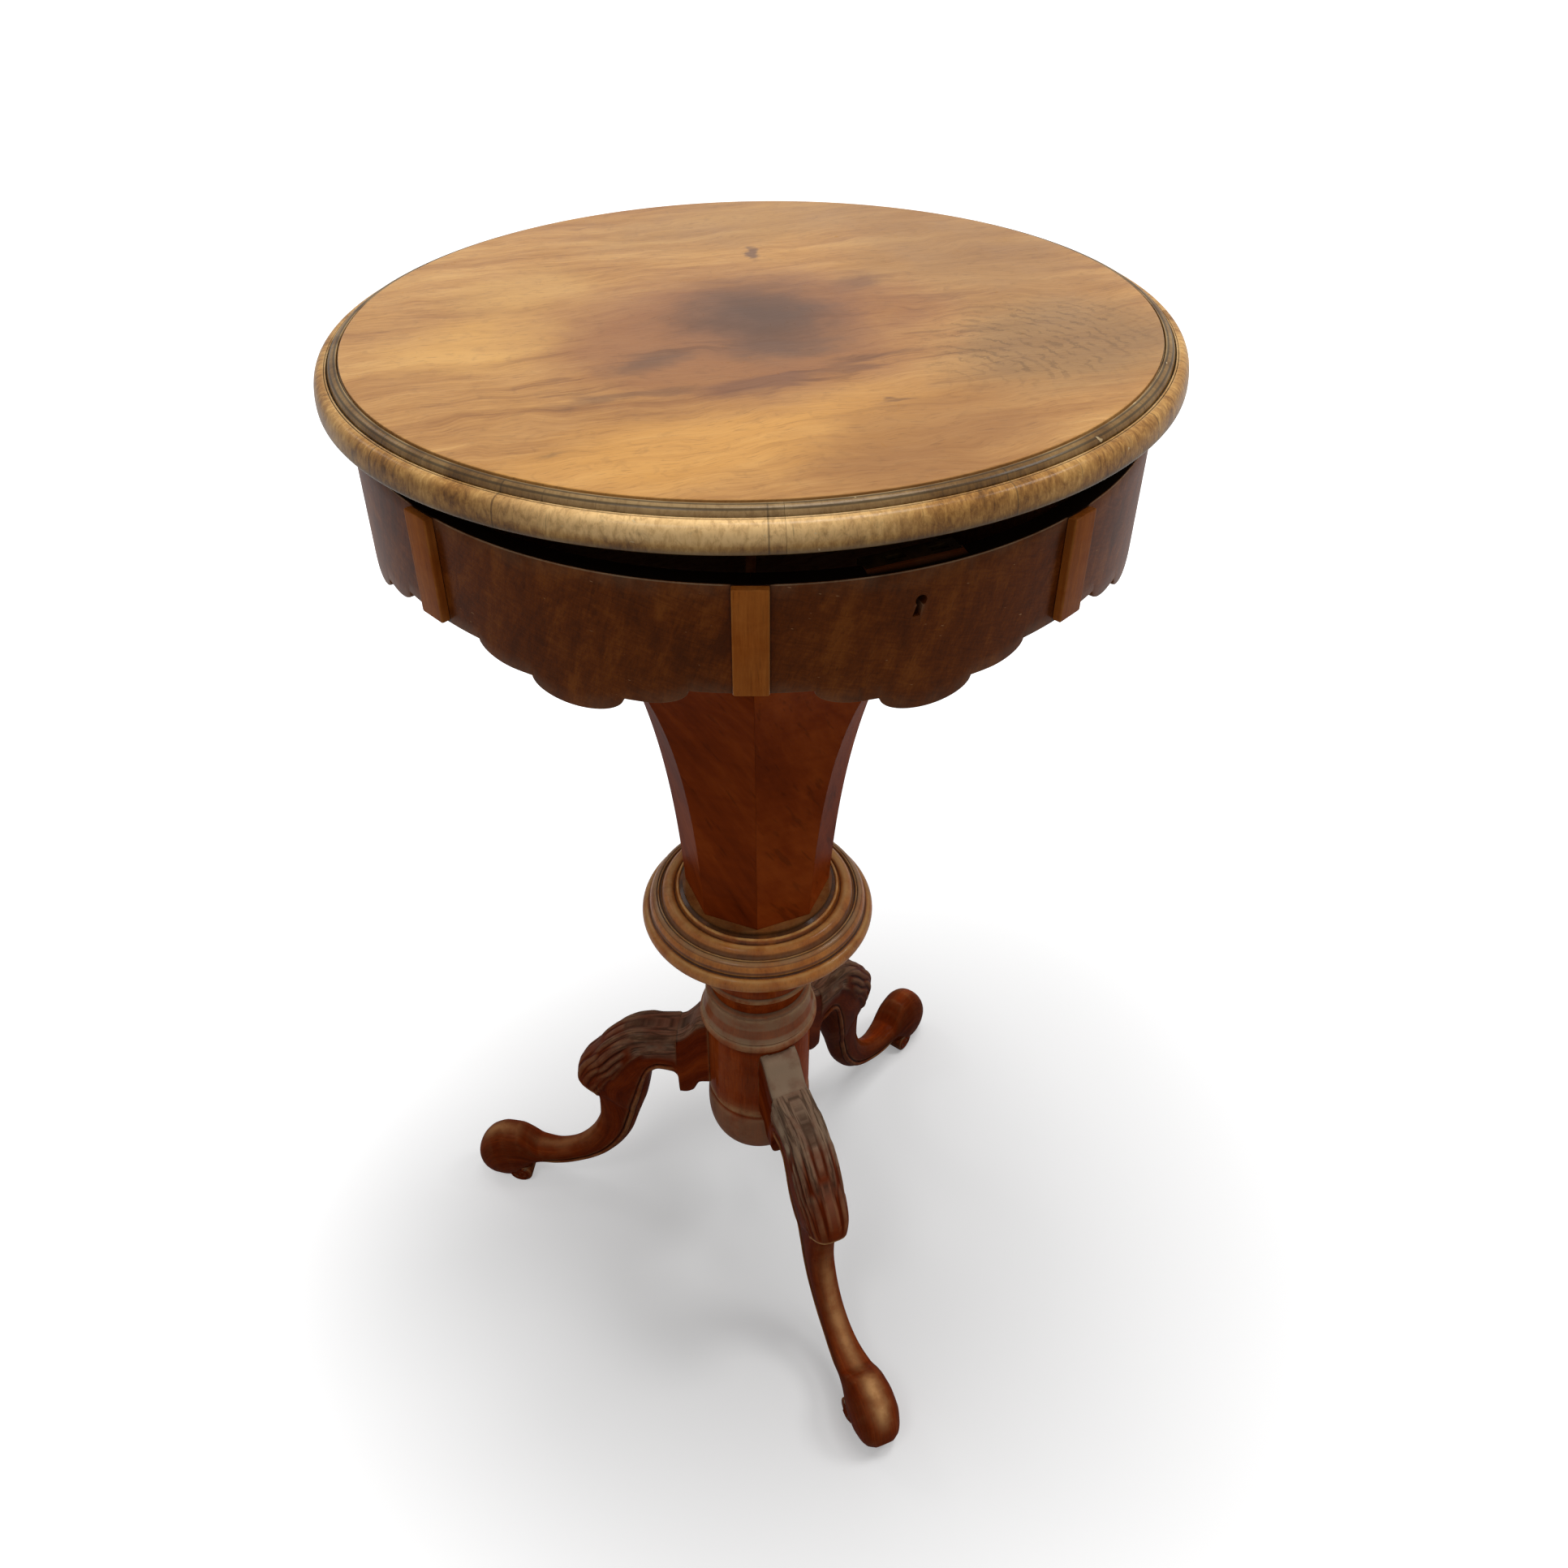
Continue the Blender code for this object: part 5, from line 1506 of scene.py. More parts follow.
@dataclass
class Turnings:
    """Turned collar, column and drop."""

    collar_radius: float = 0.0785
    seat_margin: float = 0.0020
    tenon_radius: float = 0.014
    tenon_length: float = 0.024
    bowl_radius: float = 0.066
    bowl_foot: float = 0.2935
    column_top: float = 0.338
    neck_radius: float = 0.0345
    neck_foot: float = 0.270
    ring_radius: float = 0.0428
    ring_foot: float = 0.236
    drop_height: float = 0.057
    dowel_radius: float = 0.010
    dowel_length: float = 0.018
    steps: int = 144
    # Rings of the collar as inner and outer shares of its width, with the strength of each painted highlight,
    # below 0 of each painted shade
    collar_rings: tuple[Triple, ...] = (
        (-0.40, 0.06, -0.75), (0.25, 0.36, 0.60), (0.47, 0.55, -0.60), (0.57, 0.61, 0.35),
        (0.630, 0.655, -0.65), (0.67, 0.70, 0.35), (0.72, 0.745, -0.60), (0.80, 0.825, -0.60),
        (0.87, 0.93, 0.50))
    collar_dust: Triple = (0.690, 0.745, 0.85)  # between shares of its height, and how thick
    # Lowest and highest heights of the bands of dust on the column's ring, and how thick; the full band just
    # above the bead is a painted highlight as well as dust
    ring_dust_and_sheen: tuple[Triple, ...] = (
        (0.2410, 0.2448, 0.30), (0.2448, 0.2500, 1.00), (0.2500, 0.2580, 0.40), (0.2580, 0.2700, 0.85))
    drop_dust: float = 0.50
    bare_drop: float = 0.005  # no dust so close under the pillar

    def build(self) -> None:
        """Make and dress the three turnings."""
        drop_top, lines_at = LAYOUT.pillar_foot, LAYOUT.collar_foot
        rise = LAYOUT.stem_seat - LAYOUT.collar_foot
        low, high, thick = self.collar_dust
        for name, profile, finish, slot, tools, bands in (
                ("stem_collar", self.collar(), COLLAR_WOOD, "walnut_golden", [],
                 ((lines_at + low * rise, lines_at + high * rise, thick),)),
                ("column", self.column(), COLUMN_WOOD, "walnut_turned", CabrioleLegs().housings(),
                 self.ring_dust_and_sheen),
                ("drop_finial", self.drop(), COLUMN_WOOD, "walnut_dusty", [],
                 ((drop_top - self.drop_height, drop_top - self.bare_drop, self.drop_dust),))):
            obj = Skin.lathe(profile, self.steps).piece(f"turned_{name}", LAYOUT.table_place())
            if tools:
                carve(obj, tools, LAYOUT.table_place())
            mark_relief(obj.data, 260.0)
            mark_dust_and_sheen(obj.data, bands, 0.2 if finish is COLLAR_WOOD else 1.0)
            if finish is COLLAR_WOOD:
                # Painted highlights and painted shade in rings round the collar
                inner = LAYOUT.stem_foot_radius + self.seat_margin
                span = self.collar_radius - inner
                rings = [(inner + a * span, inner + b * span, c) for a, b, c in self.collar_rings]
                mark_rings(obj.data, tuple(rings))
            dress(obj, finish, Body.TABLE, slot, name)

    def collar(self) -> Profile:
        """Draw the stem's seat, lip, torus, fine lines, sloping band and edge bead.

        Returns:
            Radii and heights, from the top down.
        """
        shares = [(0.000, 1.000), (0.000, 0.924)]
        shares += bend((0.082, 0.894), (0.124, 0.941), (0.160, 0.876), 8)
        shares += bend((0.206, 0.818), (0.390, 0.965), (0.532, 0.729), 18)
        shares += [(0.545, 0.695), (0.567, 0.694), (0.572, 0.724), (0.590, 0.741), (0.606, 0.736),
                   (0.612, 0.706), (0.626, 0.702), (0.632, 0.726)]
        shares += bend((0.645, 0.729), (0.787, 0.694), (0.823, 0.512), 12)
        shares += [(0.812, 0.478)]
        shares += bead(0.830, 0.453, 0.129, 0.170, 18)
        shares += [(0.780, 0.112), (0.681, 0.088), (0.610, 0.000)]
        bore = self.tenon_radius + LAYOUT.clear
        outside = scaled(shares, (LAYOUT.stem_foot_radius + self.seat_margin, self.collar_radius),
                         (LAYOUT.collar_foot, LAYOUT.stem_seat))
        return [(bore, LAYOUT.stem_seat)] + outside + [(bore, LAYOUT.collar_foot)]

    def column(self) -> Profile:
        """Draw tenon, bowl, bead, waisted neck, ring and plain pillar with its socket.

        Returns:
            Radii and heights, from the top down.
        """
        bowl = [(1.000, 1.000), (1.000, 0.910)] + bend((0.905, 0.888), (0.190, 0.775), (0.159, 0.000), 20)
        neck = bead(0.127, 0.957, 0.745, 0.070) + bend((0.102, 0.702), (-0.019, 0.255), (0.000, 0.085), 12)
        ring = [(0.301, 1.030), (0.301, 0.941)] + bend((0.422, 0.924), (0.518, 0.441), (0.783, 0.282), 14)
        ring += bead(0.687, 0.253, 0.029, 0.313)
        tenon = self.column_top + self.tenon_length
        socket = LAYOUT.pillar_foot + self.dowel_length + LAYOUT.clear
        hole = self.dowel_radius + LAYOUT.clear
        points = [(0.0, tenon), (self.tenon_radius, tenon), (self.tenon_radius, self.column_top)]
        points += scaled(bowl, (self.neck_radius, self.bowl_radius), (self.bowl_foot, self.column_top))
        points += scaled(neck, (self.neck_radius, self.bowl_radius), (self.neck_foot, self.bowl_foot))
        points += scaled(ring, (self.neck_radius, self.ring_radius), (self.ring_foot, self.neck_foot))
        radius, foot = LAYOUT.pillar_radius, LAYOUT.pillar_foot
        points += [(radius, z) for z in np.linspace(self.ring_foot, foot + 0.0008, 12)]
        return points + [(radius - 0.0008, foot), (hole, foot), (hole, socket), (0.0, socket)]

    def drop(self) -> Profile:
        """Draw the rounded drop under the pillar, with its dowel.

        Returns:
            Radii and heights, from the top down.
        """
        top = LAYOUT.pillar_foot - LAYOUT.clear
        shares = [(0.972, 1.000), (0.979, 0.986), (0.969, 0.930)]
        shares += bend((1.005, 0.895), (1.104, 0.175), (0.600, 0.070), 24)
        shares += bend((0.500, 0.042), (0.360, 0.000), (0.200, 0.000), 8) + [(0.000, 0.000)]
        high = top + self.dowel_length
        dowel = [(0.0, high), (self.dowel_radius, high), (self.dowel_radius, top)]
        return dowel + scaled(shares, (0.0, LAYOUT.pillar_radius), (top - self.drop_height, top))


@dataclass
class CabrioleLegs:
    """Three legs with a leaf carved over the knee, a beaded edge and a scrolled toe."""

    reach: float = 0.2398
    width: float = 0.030
    tongue_depth: float = 0.014
    tongue_lap: float = 0.003
    tongue_drop: float = 0.012
    tongue_neck: float = 0.012
    tongue_root: float = 0.018
    scroll_radius: float = 0.0098
    scroll_share: float = 0.815
    scroll_width: float = 0.029
    around: int = 144
    rows: int = 280
    leaf_from: int = 5  # section where the leaf starts
    leaf_to: int = 15  # section under its lip
    leaf_rise: float = 0.0006
    rim_rise: float = 0.0008
    pit_depth: float = 0.0014
    bead_from: int = 6
    bead_to: int = 23
    bead_rise: float = 0.0013
    bead_width: float = 0.0021
    names: tuple[str, ...] = ("leg_front", "leg_right", "leg_left")
    dust_wear_and_light: tuple[float, ...] = (1.0, 0.35, 0.45)  # share of dust, painted light and wear on each leg
    shade_and_grime: tuple[float, ...] = (0.0, 0.50, 0.0)  # painted shade all over each leg; it darkens the right leg
    sharp: float = radians(50)  # edges over this angle stay sharp
    rim_width: float = 0.0016
    eyelet_size: Pair = (0.0040, 0.0030)
    groove_width: float = 0.0009
    # Shares of the leaf's length, and how far it hangs down the sides there
    leaf_hang: Table = ((0.0, 0.3, 0.6, 0.85, 1.0), (0.015, 0.015, 0.018, 0.018, 0.012))
    eyelets: tuple[Pair, ...] = ((0.06, 0.70), (0.17, 0.72), (0.30, 0.80))
    # Leaf strokes: start and end along the leaf, place across it at both, half width and height
    strokes: Table = (
        (0.20, 0.62, 0.00, 0.00, 0.0030, 0.0013), (0.24, 0.72, 0.26, 0.18, 0.0030, 0.0014),
        (0.12, 0.56, 0.46, 0.38, 0.0026, 0.0013), (0.30, 0.84, 0.50, 0.40, 0.0028, 0.0014),
        (0.36, 0.80, 0.70, 0.58, 0.0026, 0.0013), (0.02, 0.34, 0.88, 0.86, 0.0022, 0.0012),
        (0.42, 0.92, 0.88, 0.72, 0.0026, 0.0013), (0.52, 0.96, 0.08, 0.07, 0.0028, 0.0011),
        (0.58, 0.98, 0.32, 0.28, 0.0028, 0.0011), (0.64, 0.99, 0.58, 0.52, 0.0026, 0.0011),
        (0.68, 0.99, 0.82, 0.78, 0.0024, 0.0010))
    # Crest and sole as shares of the reach and of the height, then the width and how square the section is
    sections: Table = (
        (-0.040, 1.000, -0.040, 0.680, 1.00, 7.0), (0.028, 0.972, 0.028, 0.672, 1.00, 7.0),
        (0.058, 0.938, 0.058, 0.626, 1.00, 7.0), (0.092, 0.905, 0.092, 0.613, 1.00, 7.0),
        (0.107, 0.899, 0.107, 0.613, 1.00, 7.0), (0.111, 0.898, 0.111, 0.690, 1.00, 7.0),
        (0.132, 0.896, 0.130, 0.713, 1.00, 6.0), (0.190, 0.891, 0.178, 0.717, 1.00, 5.0),
        (0.262, 0.880, 0.210, 0.698, 1.02, 4.0), (0.322, 0.852, 0.224, 0.666, 1.04, 3.6),
        (0.390, 0.797, 0.233, 0.620, 1.04, 3.4), (0.445, 0.734, 0.240, 0.582, 1.02, 3.4),
        (0.486, 0.692, 0.249, 0.544, 0.98, 3.4), (0.514, 0.641, 0.260, 0.511, 0.92, 3.4),
        (0.520, 0.601, 0.270, 0.484, 0.86, 3.4), (0.504, 0.577, 0.277, 0.463, 0.80, 3.2),
        (0.465, 0.552, 0.285, 0.441, 0.74, 3.0), (0.449, 0.488, 0.300, 0.397, 0.70, 2.8),
        (0.453, 0.402, 0.323, 0.331, 0.66, 2.6), (0.482, 0.317, 0.362, 0.262, 0.64, 2.6),
        (0.542, 0.236, 0.424, 0.192, 0.62, 2.6), (0.612, 0.186, 0.514, 0.138, 0.64, 2.6),
        (0.686, 0.166, 0.608, 0.108, 0.72, 2.5), (0.742, 0.172, 0.690, 0.098, 0.84, 2.4),
        (0.784, 0.206, 0.748, 0.082, 0.95, 2.4), (0.825, 0.232, 0.788, 0.040, 1.05, 2.3),
        (0.878, 0.234, 0.828, 0.002, 1.14, 2.3), (0.930, 0.212, 0.868, -0.006, 1.14, 2.3),
        (0.972, 0.170, 0.910, -0.006, 1.02, 2.2), (0.994, 0.124, 0.946, 0.008, 0.80, 2.2),
        (1.000, 0.088, 0.972, 0.034, 0.46, 2.2))

    def build(self) -> None:
        """Make and dress the legs and the scrolls on their toes."""
        skin = self.skin()
        dust, rub = skin.marks["dust"], skin.marks["rub"]
        for index, name in enumerate(self.names):
            place = LAYOUT.table_place(2 * pi * index / len(self.names))
            # Each leg takes its own share of dust and painted light; painted shade darkens the right leg all
            # over
            skin.marks.update(dust=dust * self.dust_wear_and_light[index], rub=rub * self.dust_wear_and_light[index] - self.shade_and_grime[index])
            obj = skin.piece(f"carved_{name}", place, self.sharp)
            tools = [(self.saddle(), Carve.CUT), (self.tongue(), Carve.JOIN), (self.scroll(), Carve.JOIN)]
            carve(obj, tools, place)
            soften(obj.data, self.sharp)
            mark_relief(obj.data, 260.0)
            dress(obj, LEG_WOOD, Body.TABLE, "walnut_carved", name)
        self.build_volutes()

    def skin(self) -> Skin:
        """Loft one leg along its sections.

        Returns:
            The leg with its relief, grain, dust with painted sheen, and painted highlights with wear.
        """
        table = np.array(self.sections)
        base = LAYOUT.pillar_radius
        ends = np.stack([base + table[:, 0] * (self.reach - base), table[:, 1] * LAYOUT.leg_top,
                         base + table[:, 2] * (self.reach - base), table[:, 3] * LAYOUT.leg_top], axis=-1)
        middle = (ends[:, :2] + ends[:, 2:]) / 2
        step = np.hypot(*np.diff(middle, axis=0).T)
        swing = np.hypot(*np.diff(ends[:, :2], axis=0).T)
        knots = np.concatenate([[0.0], np.cumsum(0.5 * step + 0.5 * swing)])
        travel = np.linspace(0.0, knots[-1], self.rows)
        crest_r, crest_z, sole_r, sole_z = (eased(knots, column, travel)[:, None] for column in ends.T)
        half_width = eased(knots, table[:, 4] * self.width / 2, travel)[:, None]
        square = eased(knots, table[:, 5], travel)[:, None]

        turn = 2 * pi * (np.arange(self.around) + 0.5) / self.around
        rise = np.sign(np.cos(turn)) * np.abs(np.cos(turn)) ** (2 / square)
        side = np.sign(np.sin(turn)) * np.abs(np.sin(turn)) ** (2 / square)
        half_r, half_z = (crest_r - sole_r) / 2, (crest_z - sole_z) / 2
        half_height = np.hypot(half_r, half_z)
        out_rise = np.sign(rise) * np.abs(rise) ** (square - 1) / half_height
        out_side = np.sign(side) * np.abs(side) ** (square - 1) / half_width
        size = np.hypot(out_rise, out_side)
        out_rise, out_side = out_rise / size, out_side / size

        ring = np.stack([half_height * rise, half_width * side], axis=-1)
        gaps = np.linalg.norm(ring - np.roll(ring, 1, axis=1), axis=-1)
        gaps[:, 0] /= 2
        half_ring = self.around // 2
        arc = np.cumsum(gaps[:, :half_ring], axis=1)
        arc = np.concatenate([arc, arc[:, ::-1]], axis=1)
        below = arc.max(axis=1, keepdims=True) - arc

        relief, dust, rub = self.relief(knots, travel[:, None], arc, below, half_width)
        raised = half_height * rise + relief * out_rise
        widened = half_width * side + relief * out_side
        radius = (crest_r + sole_r) / 2 + half_r / half_height * raised
        height = np.maximum((crest_z + sole_z) / 2 + half_z / half_height * raised, 0.0)
        skin = Skin.loft(np.stack([widened, -radius, height], axis=-1))
        along = np.broadcast_to(travel[:, None], arc.shape)
        skin.marks["flow"] = np.stack([arc, along, np.zeros_like(arc)], axis=-1).reshape(-1, 3)
        skin.marks["dust"] = dust.ravel()
        skin.marks["rub"] = rub.ravel()
        return skin

    def relief(self, knots: Array, travel: Array, arc: Array, below: Array,
               half_width: Array) -> tuple[Array, Array, Array]:
        """Height of the carving over the plain leg, the dust on it with painted sheen on its strokes, and the
        painted highlights with wear on its toe, shin, lip and bead edge.

        Args:
            knots: travel along the leg at each section.
            travel: travel along the leg at each row.
            arc: way round each row from its crest.
            below: way round each row from its sole.
            half_width: half the leg's width at each row.

        Returns:
            Relief, dust with painted sheen, and painted highlights with wear, at each point.
        """
        length = knots[self.leaf_to] - knots[self.leaf_from]
        share = (travel - knots[self.leaf_from]) / length
        border = half_width * 0.95 + np.interp(share, *self.leaf_hang)
        across = arc / border
        inside = smoothstep(across, 1.03, 0.97)
        inside = inside * smoothstep(share, -0.01, 0.02) * smoothstep(share, 1.01, 0.98)
        strokes = np.zeros_like(arc)
        for begin, finish, first, last, wide, high in self.strokes:
            run = (share - begin) / (finish - begin)
            off = (across - first - (last - first) * run) * border / wide
            taper = smoothstep(run, 0.0, 0.18) * smoothstep(run, 1.0, 0.55)
            strokes = np.maximum(strokes, high * np.clip(1 - off ** 2, 0.0, 1.0) * taper)
        rim = self.rim_rise * np.clip(1 - ((across - 0.95) * border / self.rim_width) ** 2, 0.0, 1.0)
        pits = np.zeros_like(arc)
        for at, out in self.eyelets:
            run = (share - at) * length / self.eyelet_size[0]
            off = (across - out) * border / self.eyelet_size[1]
            pits = np.maximum(pits, self.pit_depth * np.exp(-(run ** 2 + off ** 2)))
        carving = inside * (self.leaf_rise + np.maximum(strokes, rim) - pits)

        start, end = knots[self.bead_from], knots[self.bead_to]
        shown = smoothstep(travel, start - 0.004, start + 0.004)
        shown = shown * smoothstep(travel, end + 0.004, end - 0.008)
        centre = half_width * 0.88 + self.bead_width
        edge = np.sqrt(np.clip(1 - ((below - centre) / self.bead_width) ** 2, 0.0, 1.0))
        groove = np.exp(-((below - centre - 1.35 * self.bead_width) / self.groove_width) ** 2)
        carving = carving + shown * (self.bead_rise * edge - 0.0005 * groove)

        shoulder = smoothstep(share, 0.02, -0.01) * smoothstep(arc, half_width * 1.15, half_width * 0.9)
        raised = strokes + 0.0012 * smoothstep(share, 0.45, 0.20)
        # Dust and painted sheen on the leaf's raised strokes
        crest_sheen_and_dust = smoothstep(share, 0.95, 0.20) * 0.75 * smoothstep(raised, 0.0, 0.0012)
        dust = np.clip(inside * (crest_sheen_and_dust + 0.5 * smoothstep(pits, 0.0, 0.001)) + 0.9 * shoulder, 0.0, 1.0)
        # Painted highlights on the toe, where there is wear as well, along the shin, at the leaf's lip and on
        # the bead's edge
        toe = smoothstep(travel, knots[24], knots[26]) * smoothstep(travel, knots[29], knots[27])
        toe = 0.85 * toe * np.exp(-(arc / (0.34 * half_width)) ** 2)
        shin = smoothstep(travel, knots[16], knots[20]) * smoothstep(travel, knots[25], knots[22])
        shin = 0.55 * shin * np.exp(-(arc / 0.0046) ** 2)
        lip = 0.9 * smoothstep(np.abs(share - 0.965), 0.030, 0.010) * smoothstep(across, 1.0, 0.85)
        return carving, dust, np.clip(toe + shin + lip + 0.15 * shown * edge, 0.0, 1.0)

    def tongue_plan(self, gap: float = 0.0) -> Profile:
        """Draw the plan of a dovetail tongue, or of its housing.

        Args:
            gap: room all round, for a housing.

        Returns:
            The plan's corners.
        """
        face = LAYOUT.pillar_radius + self.tongue_lap
        inner = LAYOUT.pillar_radius - self.tongue_depth - gap
        flank = (self.tongue_root - self.tongue_neck) / 2 / (self.tongue_depth + self.tongue_lap)
        neck = self.tongue_neck / 2 + gap * sqrt(1 + flank ** 2)
        root = neck + flank * (face - inner)
        return [(-root, -inner), (-neck, -face), (neck, -face), (root, -inner)]

    def tongue(self) -> Skin:
        """The dovetail tongue at a leg's root."""
        return Skin.prism(self.tongue_plan(), LAYOUT.pillar_foot, LAYOUT.leg_top - self.tongue_drop)

    def housings(self) -> Tools:
        """Shape the three dovetail housings in the column.

        Returns:
            Tools that cut.
        """
        tools = []
        for index in range(len(self.names)):
            skin = Skin.prism(self.tongue_plan(LAYOUT.clear), LAYOUT.pillar_foot - LAYOUT.past,
                              LAYOUT.leg_top - self.tongue_drop + LAYOUT.clear)
            turn = np.array(Matrix.Rotation(2 * pi * index / len(self.names), 3, "Z"))
            tools.append((Skin(skin.points @ turn.T, skin.faces), Carve.CUT))
        return tools

    def saddle(self) -> Skin:
        """Tool that fits a leg's root to the round pillar."""
        radius, top = LAYOUT.pillar_radius + LAYOUT.clear, LAYOUT.leg_top + LAYOUT.past
        return Skin.lathe([(0.0, 0.0), (radius, 0.0), (radius, top), (0.0, top)], 96)

    def scroll_centre(self) -> Pair:
        """Radius and height of the scroll under a toe."""
        base = LAYOUT.pillar_radius
        return (base + (self.reach - base) * self.scroll_share, self.scroll_radius)

    def scroll(self) -> Skin:
        """Shape the scroll under a toe.

        Returns:
            A rounded barrel.
        """
        radius = self.scroll_radius - LAYOUT.clear
        half = self.scroll_width / 2
        soft = 0.0016
        profile = [(0.0, -half), (radius - soft, -half)]
        profile += bend((radius - soft, -half), (radius, -half), (radius, -half + soft), 5)[1:]
        profile += bend((radius, half - soft), (radius, half), (radius - soft, half), 5) + [(0.0, half)]
        skin = Skin.lathe(profile, 48)
        centre_r, centre_z = self.scroll_centre()
        x, y, z = skin.points.T
        return Skin(np.stack([z, x - centre_r, y + centre_z], axis=-1), skin.faces)

    def build_volutes(self) -> None:
        """Raised spirals on both ends of each scroll, by a node tree."""
        centre_r, centre_z = self.scroll_centre()
        out = self.scroll_width / 2 - 0.0003
        spots = []
        for index in range(len(self.names)):
            place = LAYOUT.table_place(2 * pi * index / len(self.names))
            turn = place.to_3x3()
            spots += [(place @ Vector((side * out, -centre_r, centre_z)), turn @ Vector((side, 0.0, 0.0)))
                      for side in (-1.0, 1.0)]
        obj = scatter("toe_volutes", spots)
        sizes = {"Outer Radius": self.scroll_radius - 0.0022, "Inner Radius": 0.0010, "Turns": 1.6,
                 "Cord Radius": 0.0010, "Points per Turn": 40}
        s = Shape("toe_spiral", sizes, True)
        put = s.inputs
        spiral = s.out("GeometryNodeCurveSpiral",
                       {"Resolution": put["Points per Turn"], "Rotations": put["Turns"], "Height": 0.0,
                        "Start Radius": put["Inner Radius"], "End Radius": put["Outer Radius"]})
        cord = s.out("GeometryNodeCurvePrimitiveCircle", {"Resolution": 10, "Radius": put["Cord Radius"]})
        tube = s.out("GeometryNodeCurveToMesh", {"Curve": spiral, "Profile Curve": cord, "Fill Caps": True})
        s.end(s.stand(tube))
        s.grow(obj, LEG_WOOD)
        dress(obj, LEG_WOOD, Body.TABLE, "walnut_carved")


def eased(knots: Array, values: Array, at: Array) -> Array:
    """Smooth curve through values that never overshoots them.

    Args:
        knots: where the values stand.
        values: one column of a table.
        at: where the curve is read.

    Returns:
        The curve's values.
    """
    step = np.diff(knots)
    slope = np.diff(values) / step
    product = slope[:-1] * slope[1:]
    total = slope[:-1] + slope[1:]
    inner = np.where(product > 0, 2 * product / np.where(np.abs(total) < 1e-12, 1.0, total), 0.0)
    tangent = np.concatenate([[slope[0]], inner, [slope[-1]]])
    i = np.clip(np.searchsorted(knots, at) - 1, 0, len(step) - 1)
    t = (at - knots[i]) / step[i]
    first = (1 + 2 * t) * (1 - t) ** 2 * values[i] + t * (1 - t) ** 2 * step[i] * tangent[i]
    second = t * t * (3 - 2 * t) * values[i + 1] + t * t * (t - 1) * step[i] * tangent[i + 1]
    return first + second


@dataclass
class Tray:
    """Paper-lined floor, dividers and the frame round the well."""

    def build(self) -> None:
        """Dress the frame's own solids."""
        for name in ("tray_floor", "well_frame"):
            dress_node(name, SHADED_TRAY_PAPER)
        for index in range(LAYOUT.sides):
            dress_node(f"tray_divider_{index + 1}", DIVIDER_WOOD)


